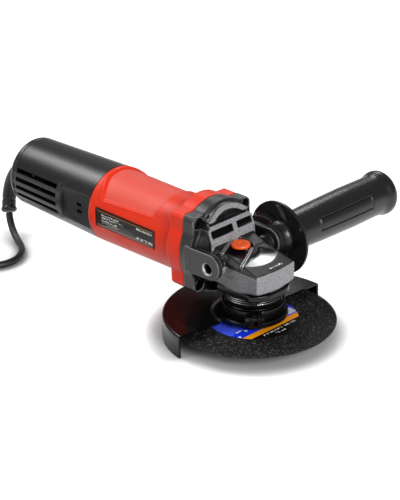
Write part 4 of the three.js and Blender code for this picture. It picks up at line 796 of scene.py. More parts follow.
def bar_distance(u, v, start, end):
    """Distance in a plane from the segment between two points."""
    (a, b), (c, d) = start, end
    t = ((u - a) * (c - a) + (v - b) * (d - b)) / ((c - a) ** 2 + (d - b) ** 2)
    t = np.clip(t, 0, 1)
    return np.hypot(u - a - t * (c - a), v - b - t * (d - b))


# %% The outside of the casting
HEAD_FRONT, FLANGE_FRONT, FLANGE_REAR = 24.3, -32.0, -43.4
TOP_FRONT, TOP_SLOPE = 59.6, 0.2549
GRILLE_X, GRILLE_LEAN, LEAN_FROM = -20.0, 0.354, 74.4
ARCH = (67.8, 29.2, 23.2)
HANDLE_X, HANDLE_Z, EAR_Y = -14.1, 59.6, 34.4
BUTTON_X = -12.9
THROAT_REAR, THROAT_FRONT = (29.6, 28.6, 61.0), (20.0, 13.8, 56.8)  # half sides and middle z
HEAD_LOW, HEAD_HALF, HEAD_TAPER, DRUM_R, SPINDLE_BORE = 43.0, 20.0, 4.0 / 46.3, 22.6, 16.4


def head_half(x):
    """Half the head's width at a place along: it narrows towards the front."""
    return HEAD_HALF + HEAD_TAPER * (HEAD_FRONT - x)


def head_top(x):
    """Height of the sloping top at a place along."""
    return TOP_FRONT + TOP_SLOPE * (HEAD_FRONT - x)


def head_shoulder(x):
    """Width of the chamfer along the top's sides: it narrows towards the front."""
    return np.clip(0.2 * (HEAD_FRONT - 2.0 - x), 0.3, 5.2)


def grille_face(x, z):
    """Distance in front of the grille, upright and then leaning back."""
    lean = (x - GRILLE_X + GRILLE_LEAN * (z - LEAN_FROM)) / math.hypot(1, GRILLE_LEAN)
    return np.maximum(x - GRILLE_X, lean)


def from_button(x, y):
    """Distance from the button's middle, and direction in degrees from +X."""
    return np.hypot(x - BUTTON_X, y), np.degrees(np.arctan2(y, x - BUTTON_X))


def scoop(x, y):
    """Depth of the thumb scoop in front of the button: deepest at 15.5 mm from the button's
    middle and rising in a straight ramp to the top at 27.5 mm."""
    reach, turn = from_button(x, y)
    ramp = np.clip((27.5 - reach) / 12.0, 0, 1) * soft_step(reach, 12.3, 15.5)
    return 3.0 * ramp * inside(turn, -34.0, 32.0, 14.0)


print("the top falls from", round(head_top(-20.0), 1), "to", round(head_top(HEAD_FRONT), 1))


# %% Its body
def case_body(x, y, z):
    """Flange, throat, head, drum, arch and ears, blended."""
    side = np.abs(y)
    angle = np.arctan2(z - COLLAR_Z, y)
    flange = bounded(
        np.hypot(y, z - COLLAR_Z) - collar_reach(angle),
        np.abs(x - (FLANGE_FRONT + FLANGE_REAR) / 2) - (FLANGE_FRONT - FLANGE_REAR) / 2,
        edge=1.3,
    )
    t = soft_step(x, -33.0, -13.0)
    wide, tall, middle = (a + (b - a) * t for a, b in zip(THROAT_REAR, THROAT_FRONT))
    power = 2.0 + 2.5 * t
    round_ = (side / wide) ** power + (np.abs(z - middle) / tall) ** power
    throat = bounded((round_ ** (1 / power) - 1) * tall, x + 7.0, -38.0 - x)
    top = z - head_top(x)
    throat = np.maximum(throat, np.minimum(x + 21.5, top + 1.2))
    taper = head_half(x)
    front = x - HEAD_FRONT + 1.3 * (y / HEAD_HALF) ** 2
    shoulder = head_shoulder(x)
    groove = bell(top + shoulder, -1.7, 0.75) * inside(x, -18.0, 21.0, 2.0)
    belly = 0.33 * (np.hypot(x, y) - 24.0) - z + HEAD_LOW
    head = bounded(
        (side - taper + 0.8 * groove) * 0.9,
        (top + scoop(x, y)) * 0.969,
        (side - taper + 0.8 * top + 0.8 * shoulder) / 1.28,
        front,
        -28.0 - x,
        edge=0.9,
    )
    head = bounded(head, belly * 0.95, HEAD_LOW - z, edge=2.2)
    drum = bounded(np.hypot(x, y) - DRUM_R, np.abs(z - 47.5) - 4.5, edge=1.0)
    arch = bounded(
        np.hypot(y, z - ARCH[0]) - ARCH[1], side - ARCH[2], grille_face(x, z), -38.0 - x, 61.0 - z
    )
    outline = bar_distance(x, z, (-12.2, 61.6), (-40.0, 60.8)) - 10.2
    ears = bounded(outline, side - EAR_Y, EAR_Y - 4.6 - side, -38.0 - x)
    boss = np.hypot(x - HANDLE_X, z - HANDLE_Z) - 7.4
    ears = joined(ears, (0.8, bounded(boss, side - EAR_Y + 2, 16.0 - side)))
    return joined(head, (3.0, drum), (2.5, throat), (2.5, flange), (1.6, arch), (1.2, ears))


# %% What is cut out of it
def grille_cuts(x, y, z):
    """The half-moon and the gap under it, the two windows below the bar, and the duct."""
    side = np.abs(y)
    front = grille_face(x, z)
    moon = bounded(np.hypot(y, z - ARCH[0]) - 24.9, side - 16.4, 86.0 - z, -31.0 - x, edge=1.6)
    wide = bounded(np.abs(y + 9.7) - 11.2, np.abs(z - 79.6) - 2.7, edge=1.2)
    narrow = bounded(np.abs(y - 13.6) - 7.8, np.abs(z - 80.0) - 2.4, edge=1.2)
    holes = np.minimum(np.minimum(moon, wide), narrow)
    holes = bounded(holes, x + 15.0, -34.0 - x, edge=0.3)
    gap = bounded(np.abs(z - 86.9) - 0.95, -2.4 - front, edge=0.3)
    back = front + 2.6
    duct = bounded(side - 21.2, 77.0 - z, z - 82.0, back, -38.0 - x, edge=1.0)
    upper = bounded(side - 18.6, 79.0 - z, z - 92.5, back, -31.0 - x, edge=1.5)
    return np.minimum(np.minimum(holes, gap), np.minimum(duct, upper))


print("grille leans", round(math.degrees(math.atan(GRILLE_LEAN))), "degrees")

# %% The button's bay
RIDGES = (((-19.6, -3.2), (-11.1, -21.9)), ((-4.8, 4.5), (8.1, -20.7)))


def ridge_distance(x, y):
    """Distance in plan from the nearer of the two ridges beside the pocket."""
    return np.minimum(*(bar_distance(x, y, *ends) for ends in RIDGES))


def pocket_cut(x, y, z):
    """The bay round the button: round behind it, and running towards the near side between
    the two ridges up to a straight lip."""
    rear_wall = -((x + 19.6) * 0.910 + (y + 3.2) * 0.414)
    front_wall = (x + 4.8) * 0.890 + (y - 4.5) * 0.456
    along = (x + 12.2) * 0.435 - y * 0.900
    bay = bounded(rear_wall + 0.6, front_wall + 0.6, -along, along - 17.4)
    plan = joined(np.hypot(x + 12.2, y) - 8.7, (1.5, bay))
    floor = np.minimum(64.4, head_top(x) - 3.2)
    return bounded(plan, floor - z, z - 76.0, edge=0.6)


print("bay is", round(float(-pocket_cut(BUTTON_X, 0.0, 68.0)), 2), "mm wide about the button")


# %% The whole solid
def case_field(x, y, z):
    """Distance outside the casting: its body less the grille and the pocket, plus the ridges,
    less the screws' seats and holes, the handle's stud, the bearings and the spindle's bore."""
    side, head = np.abs(y), head_top(x)
    ridge = bounded(ridge_distance(x, y) - 1.3, z - head - 0.3, 60.0 - z, -19.8 - x)
    screw = np.hypot(side - 24.6, np.abs(z - 62.4) - 25.2) - 4.6
    stud = np.hypot(x - HANDLE_X, z - HANDLE_Z) - 3.9
    bearing, spindle = np.hypot(y, z - AXIS_Z), np.hypot(x, y)
    solid = without(case_body(x, y, z), (0.5, grille_cuts(x, y, z)), (0.7, pocket_cut(x, y, z)))
    return without(
        joined(solid, (0.4, ridge)),
        (0.3, bounded(screw, -35.7 - x, x + 12.0)),
        (0.3, bounded(stud, 22.4 - side)),
        (0.3, bounded(stud - (side - 33.3), 33.0 - side)),
        (0.3, bounded(bearing - 29.2, x + 33.2, edge=0.4)),
        (0.3, bounded(bearing - 9.8, x + 22.6, edge=0.4)),
        (0.3, bounded(spindle - SPINDLE_BORE, z - 59.7, edge=1.0)),
        (0.3, bounded(np.hypot(x + 6.9, y) - 1.6, z - 66.0, edge=0.3)),
        (0.3, bounded(spindle - 27.8, z - HEAD_LOW, edge=0.3)),
    )


print("middle of the head is", round(float(case_field(21.0, 0.0, 50.0)), 2), "mm deep")


# %% The skin on a lattice
def lattice_skin(field, low, high, pitch):
    """Surface nets: each lattice cell that the surface crosses gets one point, the mean of
    the crossings on its edges, and each crossed edge a quad of its four cells' points.
    Newton steps p - f grad f / |grad f|^2 then slide the points onto the surface."""
    lines = [np.arange(a, b + pitch, pitch) for a, b in zip(low, high)]
    where = np.stack(np.meshgrid(*lines, indexing="ij"), axis=-1)
    value = field(*np.moveaxis(where, -1, 0))
    cells = tuple(n - 1 for n in value.shape)
    total, count, crossed = np.zeros((*cells, 3)), np.zeros(cells), []
    for axis in range(3):
        ahead = np.roll(value, -1, axis)
        cross = (value < 0) != (ahead < 0)
        cross[(slice(None),) * axis + (-1,)] = False
        spot = where.copy()
        spot[..., axis] += pitch * np.where(cross, value / np.where(cross, value - ahead, 1), 0)
        spot *= cross[..., None]
        crossed.append(cross)
        for shift in np.ndindex(2, 2):
            move = np.insert(shift, axis, 0)
            pick = tuple(slice(m, m + n) for m, n in zip(move, cells))
            total += spot[pick]
            count += cross[pick]
    used = count > 0
    number = np.cumsum(used).reshape(cells) - 1
    points = total[used] / count[used][:, None]
    quads = []
    for axis, cross in enumerate(crossed):
        for other in {0, 1, 2} - {axis}:
            cross[(slice(None),) * other + ([0, -1],)] = False
        at = np.array(np.nonzero(cross))
        shifts = (np.insert(shift, axis, 0) for shift in ((1, 1), (0, 1), (0, 0), (1, 0)))
        quad = np.stack([number[tuple(at - back[:, None])] for back in shifts], axis=1)
        outward = (value[tuple(at)] < 0) == (axis != 1)
        quads.append(np.where(outward[:, None], quad, quad[:, ::-1]))
    for _ in range(4):
        at, slope = field(*points.T), field_slope(field, points)
        step = at / np.maximum((slope**2).sum(axis=1), 0.2)
        step = np.clip(step, -0.4 * pitch, 0.4 * pitch)
        points = points - step[:, None] * slope
    return points, np.vstack(quads)


def field_slope(field, points, reach=0.06):
    """Gradient of the field at points by central differences."""
    shifts = [reach * axis for axis in np.eye(3)]
    rises = [field(*(points + shift).T) - field(*(points - shift).T) for shift in shifts]
    return np.stack(rises, axis=1) / (2 * reach)


CASE_BOX = (-45.1, -36.2, 24.2), (26.0, 36.2, 100.4)
case_points, case_quads = lattice_skin(case_field, *CASE_BOX, 0.62)
print("gear case skin", len(case_points), "points", len(case_quads), "quads")


# %% Where the casting is dark and worn, and where light is painted on it
def field_bend(field, points, reach=0.5):
    """Laplacian of the field: about one over the radius where the surface turns an edge."""
    total = -6 * field(*points.T)
    for axis in reach * np.eye(3):
        total = total + field(*(points + axis).T) + field(*(points - axis).T)
    return total / reach**2


def case_shares(points):
    """Per point (cap, pale, bare): how far it takes the smooth black of the cap, the paler
    grey of the walls, and the bare metal of the worn scoop and the handle hole's rim. The
    paler grey is painted light: it is strongest on walls that face forwards, and as light
    rims along the sharper bends it is a painted highlight. The cap ends at the groove below
    the chamfer."""
    x, y, z = points.T
    facing = unit(field_slope(case_field, points))
    shoulder = head_shoulder(x)
    over_groove = z - head_top(x) + shoulder + 1.7
    on_head = (x > -19.6) & (np.abs(y) < 25.5) & (z > 43.5)
    inner = head_half(x) - 2.0 - np.abs(y) - 1.3 * shoulder
    above = np.maximum(over_groove, np.where((z > 57.0) & (x < 22.0), inner, -1.0))
    # faces turned forwards leave the cap for the paler grey: painted light
    front_face = soft_step(facing[:, 0], 0.5, 0.75) * (x > 20.0)
    cap = on_head * soft_step(above, -0.5, 0.1) * (1 - front_face)
    # the grille's forward faces are painted pale as well: painted light
    on_grille = (np.abs(y) < 24.5) & (z > 62.0) & (x < -17.0)
    on_grille = on_grille * soft_step(facing[:, 0], 0.5, 0.8) * (grille_face(x, z) > -1.6)
    # painted light: the walls paler than the cap, most where they face +X
    pale = on_head * (1 - cap) * (0.45 + 0.55 * soft_step(facing[:, 0], 0.3, 0.7))
    # painted highlight: sharp bends get the paler grey and lose some of the cap's black
    edge = soft_step(field_bend(case_field, points), 0.6, 1.5)
    pale = np.maximum(np.maximum(pale, on_grille), 0.55 * edge)
    cap = cap * (1 - 0.6 * edge)
    reach, turn = from_button(x, y)
    worn = soft_step(reach, 13.8, 15.0) * (1 - soft_step(reach, 26.9, 27.6))
    worn *= inside(turn, -36.0, 8.0, 4.0) + (turn > 8.0) * (1 - soft_step(turn, 8.0, 40.0))
    worn = np.clip(worn, 0, 1) * (facing[:, 2] > 0.6) * (z > 58.0) * (x > BUTTON_X)
    worn *= ridge_distance(x, y) > 1.3
    hole = np.hypot(x - HANDLE_X, z - HANDLE_Z)
    rim = (hole < 5.0) & (hole > 3.6) & (np.abs(y) > 33.0)
    return np.stack([cap, pale, np.maximum(worn, 0.7 * rim), np.ones(len(x))], axis=1)


print("shares of one point:", np.round(case_shares(case_points[:1]), 2))


# %% Its coat
def case_material():
    """One coat for the whole casting: the shares stored on its points mix the four looks,
    and a grain of 0.9 mm, coarser than real to show, is bright and dark as well as raised."""
    material, shader, place = start_material("texture_painted_casting", {})
    fine = {"Scale": 1 / 0.9, "Detail": 2.0, "Roughness": 0.7}
    noise = add_node(material, "TexNoise", fine, {"Vector": place}).outputs[0]
    speck = {**MIDDLE, "To Min": 0.35, "To Max": 1.75}
    speck = add_node(material, "MapRange", speck, {"Value": noise}).outputs[0]
    stored = add_node(material, "Attribute", {"attribute_name": "finish"}).outputs["Color"]
    cap, pale, bare = add_node(material, "SeparateColor", {}, {"Color": stored}).outputs
    layers = (
        # the pale share lifts the dark paint to #88888B as painted light and painted highlight;
        # then come the cap's black, the grain and the bare metal
        ({6: colour("#151517"), 7: colour("#88888B")}, {0: pale}),
        ({7: colour("#0B0B0C")}, {0: cap}),
        ({"blend_type": "MULTIPLY", 0: 0.8}, {7: speck}),
        ({7: colour("#D8D9DB")}, {0: bare}),
    )
    under = {}
    for settings, links in layers:
        layer = add_node(material, "Mix", {**BLEND, **settings}, {**links, **under})
        under = {6: layer.outputs[2]}
    ends = ({"To Min": a, "To Max": b} for a, b in ((0.09 * MM, 0.02 * MM), (0.38, 0.34)))
    depth, gloss = (add_node(material, "MapRange", to, {"Value": cap}).outputs[0] for to in ends)
    bump = add_node(material, "Bump", {"Strength": 1.0}, {"Height": noise, "Distance": depth})
    links = {"Base Color": under[6], "Normal": bump.outputs[0], "Roughness": gloss}
    feed(material, shader, {**links, "Metallic": bare})
    return material


coat = case_material()
print("coat nodes", len(coat.node_tree.nodes))


# %% [markdown]
# ## Ridges and arrow
# The two ridges beside the button carry bright knurled beads, and a raised arrow on the top
# shows which way the disc turns. Relief as small as this could be cut into the casting, but
# it would need a finer lattice; separate solids half sunk in its top show the same.

# %% Beads and arrow
def ridge_ropes():
    """Two bright twisted beads on each ridge: pipes along its line, 0.7 mm to either side,
    whose radius swells every 1.5 mm."""
    ropes = []
    for (x0, y0), (x1, y1) in RIDGES:
        length = math.hypot(x1 - x0, y1 - y0)
        t = np.linspace(0.02, 0.98, 6 * int(length))
        for side in (-0.7, 0.7):
            x = x0 + t * (x1 - x0) - side * (y1 - y0) / length
            y = y0 + t * (y1 - y0) + side * (x1 - x0) / length
            top_ = head_top(x) + 0.15
            radius = 0.5 + 0.12 * np.sin(t * length * 2 * np.pi / 1.5 + 2 * side)
            radius[[0, -1]] = 0.1
            ropes.append(capped(pipe(np.stack([x, y, top_], axis=1), radius, 12), 1))
    return ropes


def arrow_block():
    """A raised double arrow, a generic turning sign, 0.45 mm proud of the sloping top."""
    half = [(-7.6, 0.0), (-5.0, 1.6), (-5.0, 0.6), (5.0, 0.6), (5.0, 1.6), (7.6, 0.0)]
    y, x = np.array(half + [(y, -x) for y, x in half[-2:0:-1]]).T + [[2.5], [20.3]]
    rings = [np.stack([x, y, head_top(x) + lift], axis=1) for lift in (-0.8, 0.45)]
    lid = [[0, 1, 9], [1, 2, 8], [1, 8, 9], [2, 3, 7], [2, 7, 8], [3, 4, 7], [4, 5, 6], [4, 6, 7]]
    lids = np.vstack([lid, np.fliplr(lid) + len(x)])
    return np.vstack(rings), [grid_faces(2, len(x)), lids], 1


print("beads", len(ridge_ropes()), "arrow", len(arrow_block()[0]), "points")

# %% The whole casting
knurled = grained("bare_cast_aluminium", "#D2D3D5", 0.30, 0.06, 0.5, 0.03, **STEEL)
case_parts = [(case_points, [case_quads], 0), arrow_block(), *ridge_ropes()]
gear_case = put("gear_case_casting", case_parts, "gear_housing", "cast_painted",
    looks=[coat, knurled], sharp=180.0)
shares = np.tile([1.0, 0.0, 0.0, 1.0], (len(gear_case.data.vertices), 1))
shares[: len(case_points)] = case_shares(case_points)
layer = gear_case.data.attributes.new("finish", "FLOAT_COLOR", "POINT")
layer.data.foreach_set("color", shares.astype(np.float32).ravel())
print("cap points", int((shares[:, 0] > 0.5).sum()), "worn", int((shares[:, 2] > 0.5).sum()))

# %% [markdown]
# ## The lock button
# Pressing this red disc holds the spindle while the nut is turned. It is a simple moulding,
# so a lathe gives it: a rim with a small radius, a hardly dished top and a pip hole.

# %% Button
low, high = box_mm("lock_button")
BUTTON_TOP, BUTTON_R = high[2], (high[0] - low[0]) / 2
BUTTON_FOOT = low[2] + 0.4  # so that it stays off the pinion when it is pressed
top_rows = [(-0.25, -0.2), (-0.8, 0.0), (-1.6, -0.08)]
pip_rows = [(4.0, -0.16), (1.9, -0.2), (1.55, -0.3), (1.45, -1.6), (0.02, -1.7)]
button_profile = [
    (0.02, BUTTON_FOOT), (BUTTON_R - 0.5, BUTTON_FOOT), (BUTTON_R, BUTTON_FOOT + 0.5),
    (BUTTON_R, BUTTON_TOP - 0.7), *((BUTTON_R + r, BUTTON_TOP + h) for r, h in top_rows),
    *((r, BUTTON_TOP + h) for r, h in pip_rows),
]
button = lathe("z", button_profile, (BUTTON_X, 0.0), 72)
put("lock_button_cap", [capped(button)], "lock_button", "orange_nylon", "lock_button", sharp=24.0)

# %% [markdown]
# ## The side handle
# A nylon grip moulded over a threaded stud: a hub against the ear, a hand guard with radial
# ribs on its under side, and a long waisted grip with a framed panel sunk into it and a
# rolled end. One lathe profile makes it, and a ripple of the radius and height adds the
# ribs and the frame, which a plain lathe can't give.

# %% Handle profile
PANEL_Y, PANEL_TURN, PANEL_HALF = (75.0, 133.5), 16.0, 17.0
DEGREES = 57.3  # in an arc as long as its radius

under = [(0.03, 34.5), (9.8, 34.5), (10.5, 35.2), (10.9, 38.0), (11.8, 42.4), (13.0, 43.6)]
web = np.linspace(14.0, 28.0, 29)
under += [*zip(web, 44.1 - 0.13 * (web - 14.0)), (28.8, 42.6)]
over = [(29.0, 43.6), (28.7, 44.6), (27.6, 45.3), (24.0, 46.0), (19.0, 46.8), (16.4, 48.2)]
over += [(15.1, 50.4), (14.5, 53.5)]
near_ends = np.add.outer(PANEL_Y, [-0.9, -0.45, 0.0, 0.45, 0.9]).ravel()
grip_y = np.unique(np.concatenate([np.linspace(54.5, 150, 66), near_ends]))
grip_r = np.interp(grip_y, [54, 62, 84, 118, 146, 151], [14.4, 15.1, 15.9, 16.5, 16.2, 16.3])
end = [(16.7, 152.6), (17.6, 154.6), (18.1, 156.6), (18.2, 158.4), (17.9, 160.2)]
end += [(17.0, 161.6), (15.4, 162.5), (13.0, 162.8), (0.03, 162.6)]
handle_profile = [*under, *over, *zip(grip_r, grip_y), *end]


def handle_ripple(angle, radius, height):
    """Six ribs on the hand guard's under side, curved as their angle grows with the radius,
    and a groove 0.8 deep along the four sides of the panel."""
    turn = np.degrees(angle)
    is_under = (np.arange(len(radius)) < len(under))[:, None]
    lag = np.mod(turn - 2.2 * (radius - 12.0) + 30.0, 60.0) - 30.0
    rib = bell(lag * radius / DEGREES, 0.0, 1.6) * inside(radius, 14.5, 26.0, 1.5)
    height = height - 1.3 * rib * is_under
    off = np.mod(turn - PANEL_TURN + 180.0, 360.0) - 180.0
    edge = np.abs(np.abs(off) - PANEL_HALF) * radius / DEGREES
    ends = np.minimum(np.abs(height - PANEL_Y[0]), np.abs(height - PANEL_Y[1]))
    in_turn = np.abs(off) < PANEL_HALF + 1
    in_long = (height > PANEL_Y[0] - 0.5) & (height < PANEL_Y[1] + 0.5)
    line = np.maximum(bell(edge, 0.0, 0.45) * in_long, bell(ends, 0.0, 0.5) * in_turn)
    return radius - 0.8 * line * ~is_under, height


handle = lathe("y", handle_profile, (HANDLE_X, HANDLE_Z), 360, handle_ripple)
handle_nylon = grained("matt_black_handle", "#1B1B1C", 0.30, 0.07, 0.7, 0.10, 1.0, 0.6)
put("side_handle_grip", [capped(handle)], "side_handle", "soft_black", looks=[handle_nylon])

# %% [markdown]
# ## Guard and clamp
# The guard is pressed from steel sheet and enamelled: half a pan over the disc, a step round
# the neck and a drawn collar. A sheet is its section with a thickness, turned through part
# of a circle and closed at its two cut ends. The clamp is a strip round the collar with a
# lug at each end and a screw that pulls them together.

# %% Guard
def sheet_turn(middle_line, thickness, start, stop, segments):
    """A sheet section turned from start to stop degrees about the spindle. The section's
    middle line of (radius, height) rows is offset by half the thickness to both sides."""
    line = np.asarray(middle_line, float)
    along = unit(np.gradient(line, axis=0))
    across = np.stack([-along[:, 1], along[:, 0]], axis=1) * thickness / 2
    loop = np.vstack([line + across, (line - across)[::-1]])
    count = len(line)
    angle = np.radians(np.linspace(start, stop, segments))[:, None]
    radius, height = loop.T
    rings = [radius * np.cos(angle), radius * np.sin(angle), height + 0 * angle]
    rings = np.stack(rings, axis=-1)
    faces = grid_faces(segments, 2 * count)
    i = np.arange(count - 1)
    cap_ = np.stack([i, i + 1, 2 * count - 2 - i, 2 * count - 1 - i], axis=1)
    far_cap = cap_[:, ::-1] + (segments - 1) * 2 * count
    return rings.reshape(-1, 3), [faces, cap_, far_cap], 0


GUARD_R, SHEET, GUARD_TOP, EDGE_BACK, EDGE_TURN = 68.6, 1.6, 18.2, 3.6, -6.0
pan = [(24.0, 19.4), (28.6, 19.4), (32.0, GUARD_TOP - SHEET / 2), (50.0, GUARD_TOP - SHEET / 2)]
pan += [(GUARD_R - SHEET / 2, GUARD_TOP - SHEET / 2), (GUARD_R - SHEET / 2, 0.0)]
pan = eased(pan, 1.5, steps=6)
half_open = 90.0 + math.degrees(math.asin(EDGE_BACK / GUARD_R))
half_pan = sheet_turn(pan, SHEET, half_open + EDGE_TURN, 360.0 - half_open + EDGE_TURN, 97)
collar = [(20.3, 16.7), (26.0, 16.7), (26.2, 17.0), (26.2, 19.2), (25.4, 20.1), (23.0, 20.3)]
collar += [(22.1, 20.9), (21.8, 21.8), (21.8, 29.0), (21.5, 29.4), (20.6, 29.4), (20.3, 29.0)]
collar = tyre(lathe("z", collar, segments=120))
put("guard_pressing", [half_pan, collar], "guard", "painted_steel", "guard")

# %% Clamp band
BAND_R, BAND_Z, SLIT, LUG_THICK = (22.1, 23.7), (21.6, 28.6), 3.4, 3.2
LUG_TURN, LUG_REACH, SCREW_REACH = -43.0, 32.1, 28.5


def turned_about_spindle(points, degrees):
    """Points turned about the spindle's axis."""
    c, s = math.cos(math.radians(degrees)), math.sin(math.radians(degrees))
    return points @ np.array([[c, s, 0.0], [-s, c, 0.0], [0.0, 0.0, 1.0]])


def clamp_strip():
    """A strip from the end of one lug, round the collar, to the end of the other. Its path
    is a list of (x, y) with the slit on +X; its section is a rounded flat bar."""
    mid, gap = sum(BAND_R) / 2, SLIT / 2
    first = math.degrees(math.asin((gap + 2.2) / mid))
    arc = np.radians(np.linspace(first, 360 - first, 80))
    path = [(LUG_REACH, gap + 0.8), (26.2, gap + 0.8)]
    path += list(zip(mid * np.cos(arc), mid * np.sin(arc)))
    path += [(26.2, -gap - 0.8), (LUG_REACH, -gap - 0.8)]
    path = eased(path, 1.6, steps=4)
    line = np.column_stack([path, np.full(len(path), sum(BAND_Z) / 2)])
    side = np.cross(unit(np.gradient(line, axis=0)), [0, 0, 1])
    thick, tall = np.ptp(BAND_R) / 2, np.ptp(BAND_Z) / 2
    corners = [(-thick, -tall), (thick, -tall), (thick, tall), (-thick, tall)]
    section = eased(corners, 0.4, closed=True, steps=4)
    grid = line[:, None] + section[None, :, :1] * side[:, None]
    grid[..., 2] += section[:, 1]
    return grid


print("strip rings", len(clamp_strip()))


# %% Band and lugs
def block_between(low_, high_, number=0, bevel=0.35):
    """A block with eased edges: rings of a rounded oblong along x, drawn in at both ends."""
    (x0, y0, z0), (x1, y1, z1) = low_, high_
    rings = []
    for x, inset in ((x0, bevel), (x0 + bevel, 0.0), (x1 - bevel, 0.0), (x1, bevel)):
        corners = [(y0 + inset, z0 + inset), (y1 - inset, z0 + inset)]
        corners += [(y1 - inset, z1 - inset), (y0 + inset, z1 - inset)]
        outline = eased(corners, 3 * bevel, closed=True, steps=4)
        rings.append(at_x(x, outline))
    return capped(np.array(rings), number)


def moved(part, change):
    """A part with its points changed by a function."""
    points, faces, number = part
    return change(np.asarray(points, float).reshape(-1, 3)), faces, number


strip = capped(clamp_strip())
lugs = []
for sign in (-1, 1):
    near, far = sorted((sign * (SLIT / 2 + 1.7), sign * (SLIT / 2 + LUG_THICK)))
    low_ = (24.6, near, BAND_Z[0] + 0.3)
    lugs.append(block_between(low_, (LUG_REACH - 0.4, far, BAND_Z[1] - 0.3)))
band_parts = [moved(p, lambda q: turned_about_spindle(q, LUG_TURN)) for p in (strip, *lugs)]
put("clamp_strip", band_parts, "clamp_band", "painted_steel", "guard")

# %% [markdown]
# ## Disc, nut and flanges
# The cutting disc is resin and grit pressed over glass mesh, 1.2 mm thick, with a printed
# paper label round its bore. A print needs no picture here: its fields are plain shapes
# worked out from the place on the disc, a yellow bar, a dark field and a blue one with
# pale dots and bars that say nothing.

# %% Abrasive and label
DISC_R, BORE_R, LABEL_R, DISC_LOW, DISC_TOP = 62.5, 11.1, 34.2, 10.9, 12.1


def abrasive_material():
    """Black grit: sharp random cells in relief with a noise of about 1 mm added, a few of them
    painted light grey as glints of the grains' facets. Real grit is 0.3 mm; 0.55 shows."""
    values = {"Base Color": colour("#0A0A0A"), "Roughness": 0.5, "Specular IOR Level": 0.3}
    material, shader, place = start_material("resin_bonded_grit", values)
    cells = add_node(material, "TexVoronoi", {"Scale": 1 / 0.55}, {"Vector": place})
    cloud = add_node(material, "TexNoise", {"Scale": 1.1, "Detail": 3.0}, {"Vector": place})
    both = {0: cells.outputs["Distance"], 1: cloud.outputs[0]}
    height = add_node(material, "Math", {"operation": "ADD"}, both).outputs[0]
    relief = {"Distance": 0.35 * MM, "Strength": 1.0}
    bump = add_node(material, "Bump", relief, {"Height": height}).outputs[0]
    split = add_node(material, "SeparateColor", {}, {"Color": cells.outputs["Color"]})
    # painted highlight: a few random cells get a light grey base colour as glints of the grains'
    # facets
    few = {"From Min": 0.90, "From Max": 1.0}
    painted_glint = add_node(material, "MapRange", few, {"Value": split.outputs[0]}).outputs[0]
    hues = {**BLEND, 6: colour("#0A0909"), 7: colour("#8C8A86")}
    tint = add_node(material, "Mix", hues, {0: painted_glint}).outputs[2]
    feed(material, shader, {"Base Color": tint, "Normal": bump})
    return material


# %% Prints
WHOLE = 9.0  # a mark larger than any cell, so that it fills the box


def printed(name, ground, rough, up, fields):
    """A print on a ground colour, across x and the coordinate numbered up. Each field is
    (box, cell, jitter, mark, hue): its box (middle, half, middle, half) in mm, the size and
    jitter of the pattern's cells, the mark's size in each cell and its colour. The mark
    shows where both coordinates are within the box and the square-cornered distance to the
    cell's point is below the mark's size."""
    values = {"Roughness": rough, "Specular IOR Level": 0.35}
    material, shader, place = start_material(name, values)
    split = add_node(material, "SeparateXYZ", {}, {"Vector": place})
    base, under = {6: colour(ground)}, {}
    for box, cell, jitter, mark, hue in fields:
        pattern = {"Scale": 1 / cell, "Randomness": jitter, "distance": "CHEBYCHEV"}
        cells = add_node(material, "TexVoronoi", pattern, {"Vector": place})
        small = {"operation": "LESS_THAN", 1: mark}
        mask = add_node(material, "Math", small, {0: cells.outputs[0]})
        for axis, middle, half in ((0, *box[:2]), (up, *box[2:])):
            within = {"operation": "COMPARE", 1: middle, 2: half}
            hit = add_node(material, "Math", within, {0: split.outputs[axis]})
            both = {0: mask.outputs[0], 1: hit.outputs[0]}
            mask = add_node(material, "Math", {"operation": "MULTIPLY"}, both)
        over = {**BLEND, **base, 7: colour(hue)}
        layer = add_node(material, "Mix", over, {0: mask.outputs[0], **under})
        base, under = {}, {6: layer.outputs[2]}
    feed(material, shader, {"Base Color": under[6]})
    return material


label_fields = [
    ((-4.0, 13.0, -27.0, 9.0), 1.2, 0.15, 0.24, "#7F96F2"),
    ((11.4, 4.4, -22.5, 8.0), 3.3, 0.45, 0.33, "#E6ECFA"),
    ((9.0, 6.6, 26.6, 4.4), 1.0, 0.0, WHOLE, "#DDE2E8"),
    ((9.0, 6.0, 26.6, 3.8), 1.5, 0.30, 0.28, "#77828F"),
    ((19.9, 2.8, 0.0, 40.0), 1.0, 0.0, WHOLE, "#FFA412"),
    ((31.7, 9.0, 0.0, 40.0), 1.0, 0.0, WHOLE, "#090909"),
    ((25.3, 0.85, 1.5, 17.0), 1.7, 0.60, 0.34, "#E9E9E6"),
    ((29.3, 0.95, 2.0, 8.0), 2.1, 0.45, 0.38, "#E9E9E6"),
]

# %% Disc
FINISHES["abrasive"] = abrasive_material()
label_print = printed("printed_disc_label", "#1236E4", 0.35, 1, label_fields)
print("print nodes", len(label_print.node_tree.nodes))
outer_radii = np.linspace(LABEL_R + 0.4, DISC_R - 0.25, 14)
radii = np.concatenate([np.linspace(BORE_R, LABEL_R, 8), outer_radii])
disc_top = [(r, DISC_TOP) for r in radii]
disc_low = [(r, DISC_LOW) for r in radii[::-1]]
disc_profile = [*disc_top, (DISC_R, DISC_TOP - 0.3), (DISC_R, DISC_LOW + 0.3), *disc_low]
points, faces, _ = tyre(lathe("z", disc_profile, segments=180))
ring_number = np.repeat(np.arange(len(disc_profile)), 180)
on_label = (ring_number < 7).astype(int)
put("cutting_disc_blade", [(points, faces, on_label)], "cutting_disc", "abrasive", "spindle",
    [FINISHES["abrasive"], label_print])
# %% [markdown]
# ## Neck, inner flange and nut
# Under the head sits the bearing cover, a casting with a flange plate and a turned neck that
# the guard's collar clips round. Neck and inner flange are turned work and come from the
# lathe; the plate and the nut have holes beside the axis, which a lathe can't give, so they
# come from a solid and its skin like the gear case.

# %% Bearing cover
NECK_R, PLATE_R, PLATE_FLAT = 20.0, 27.2, 21.4


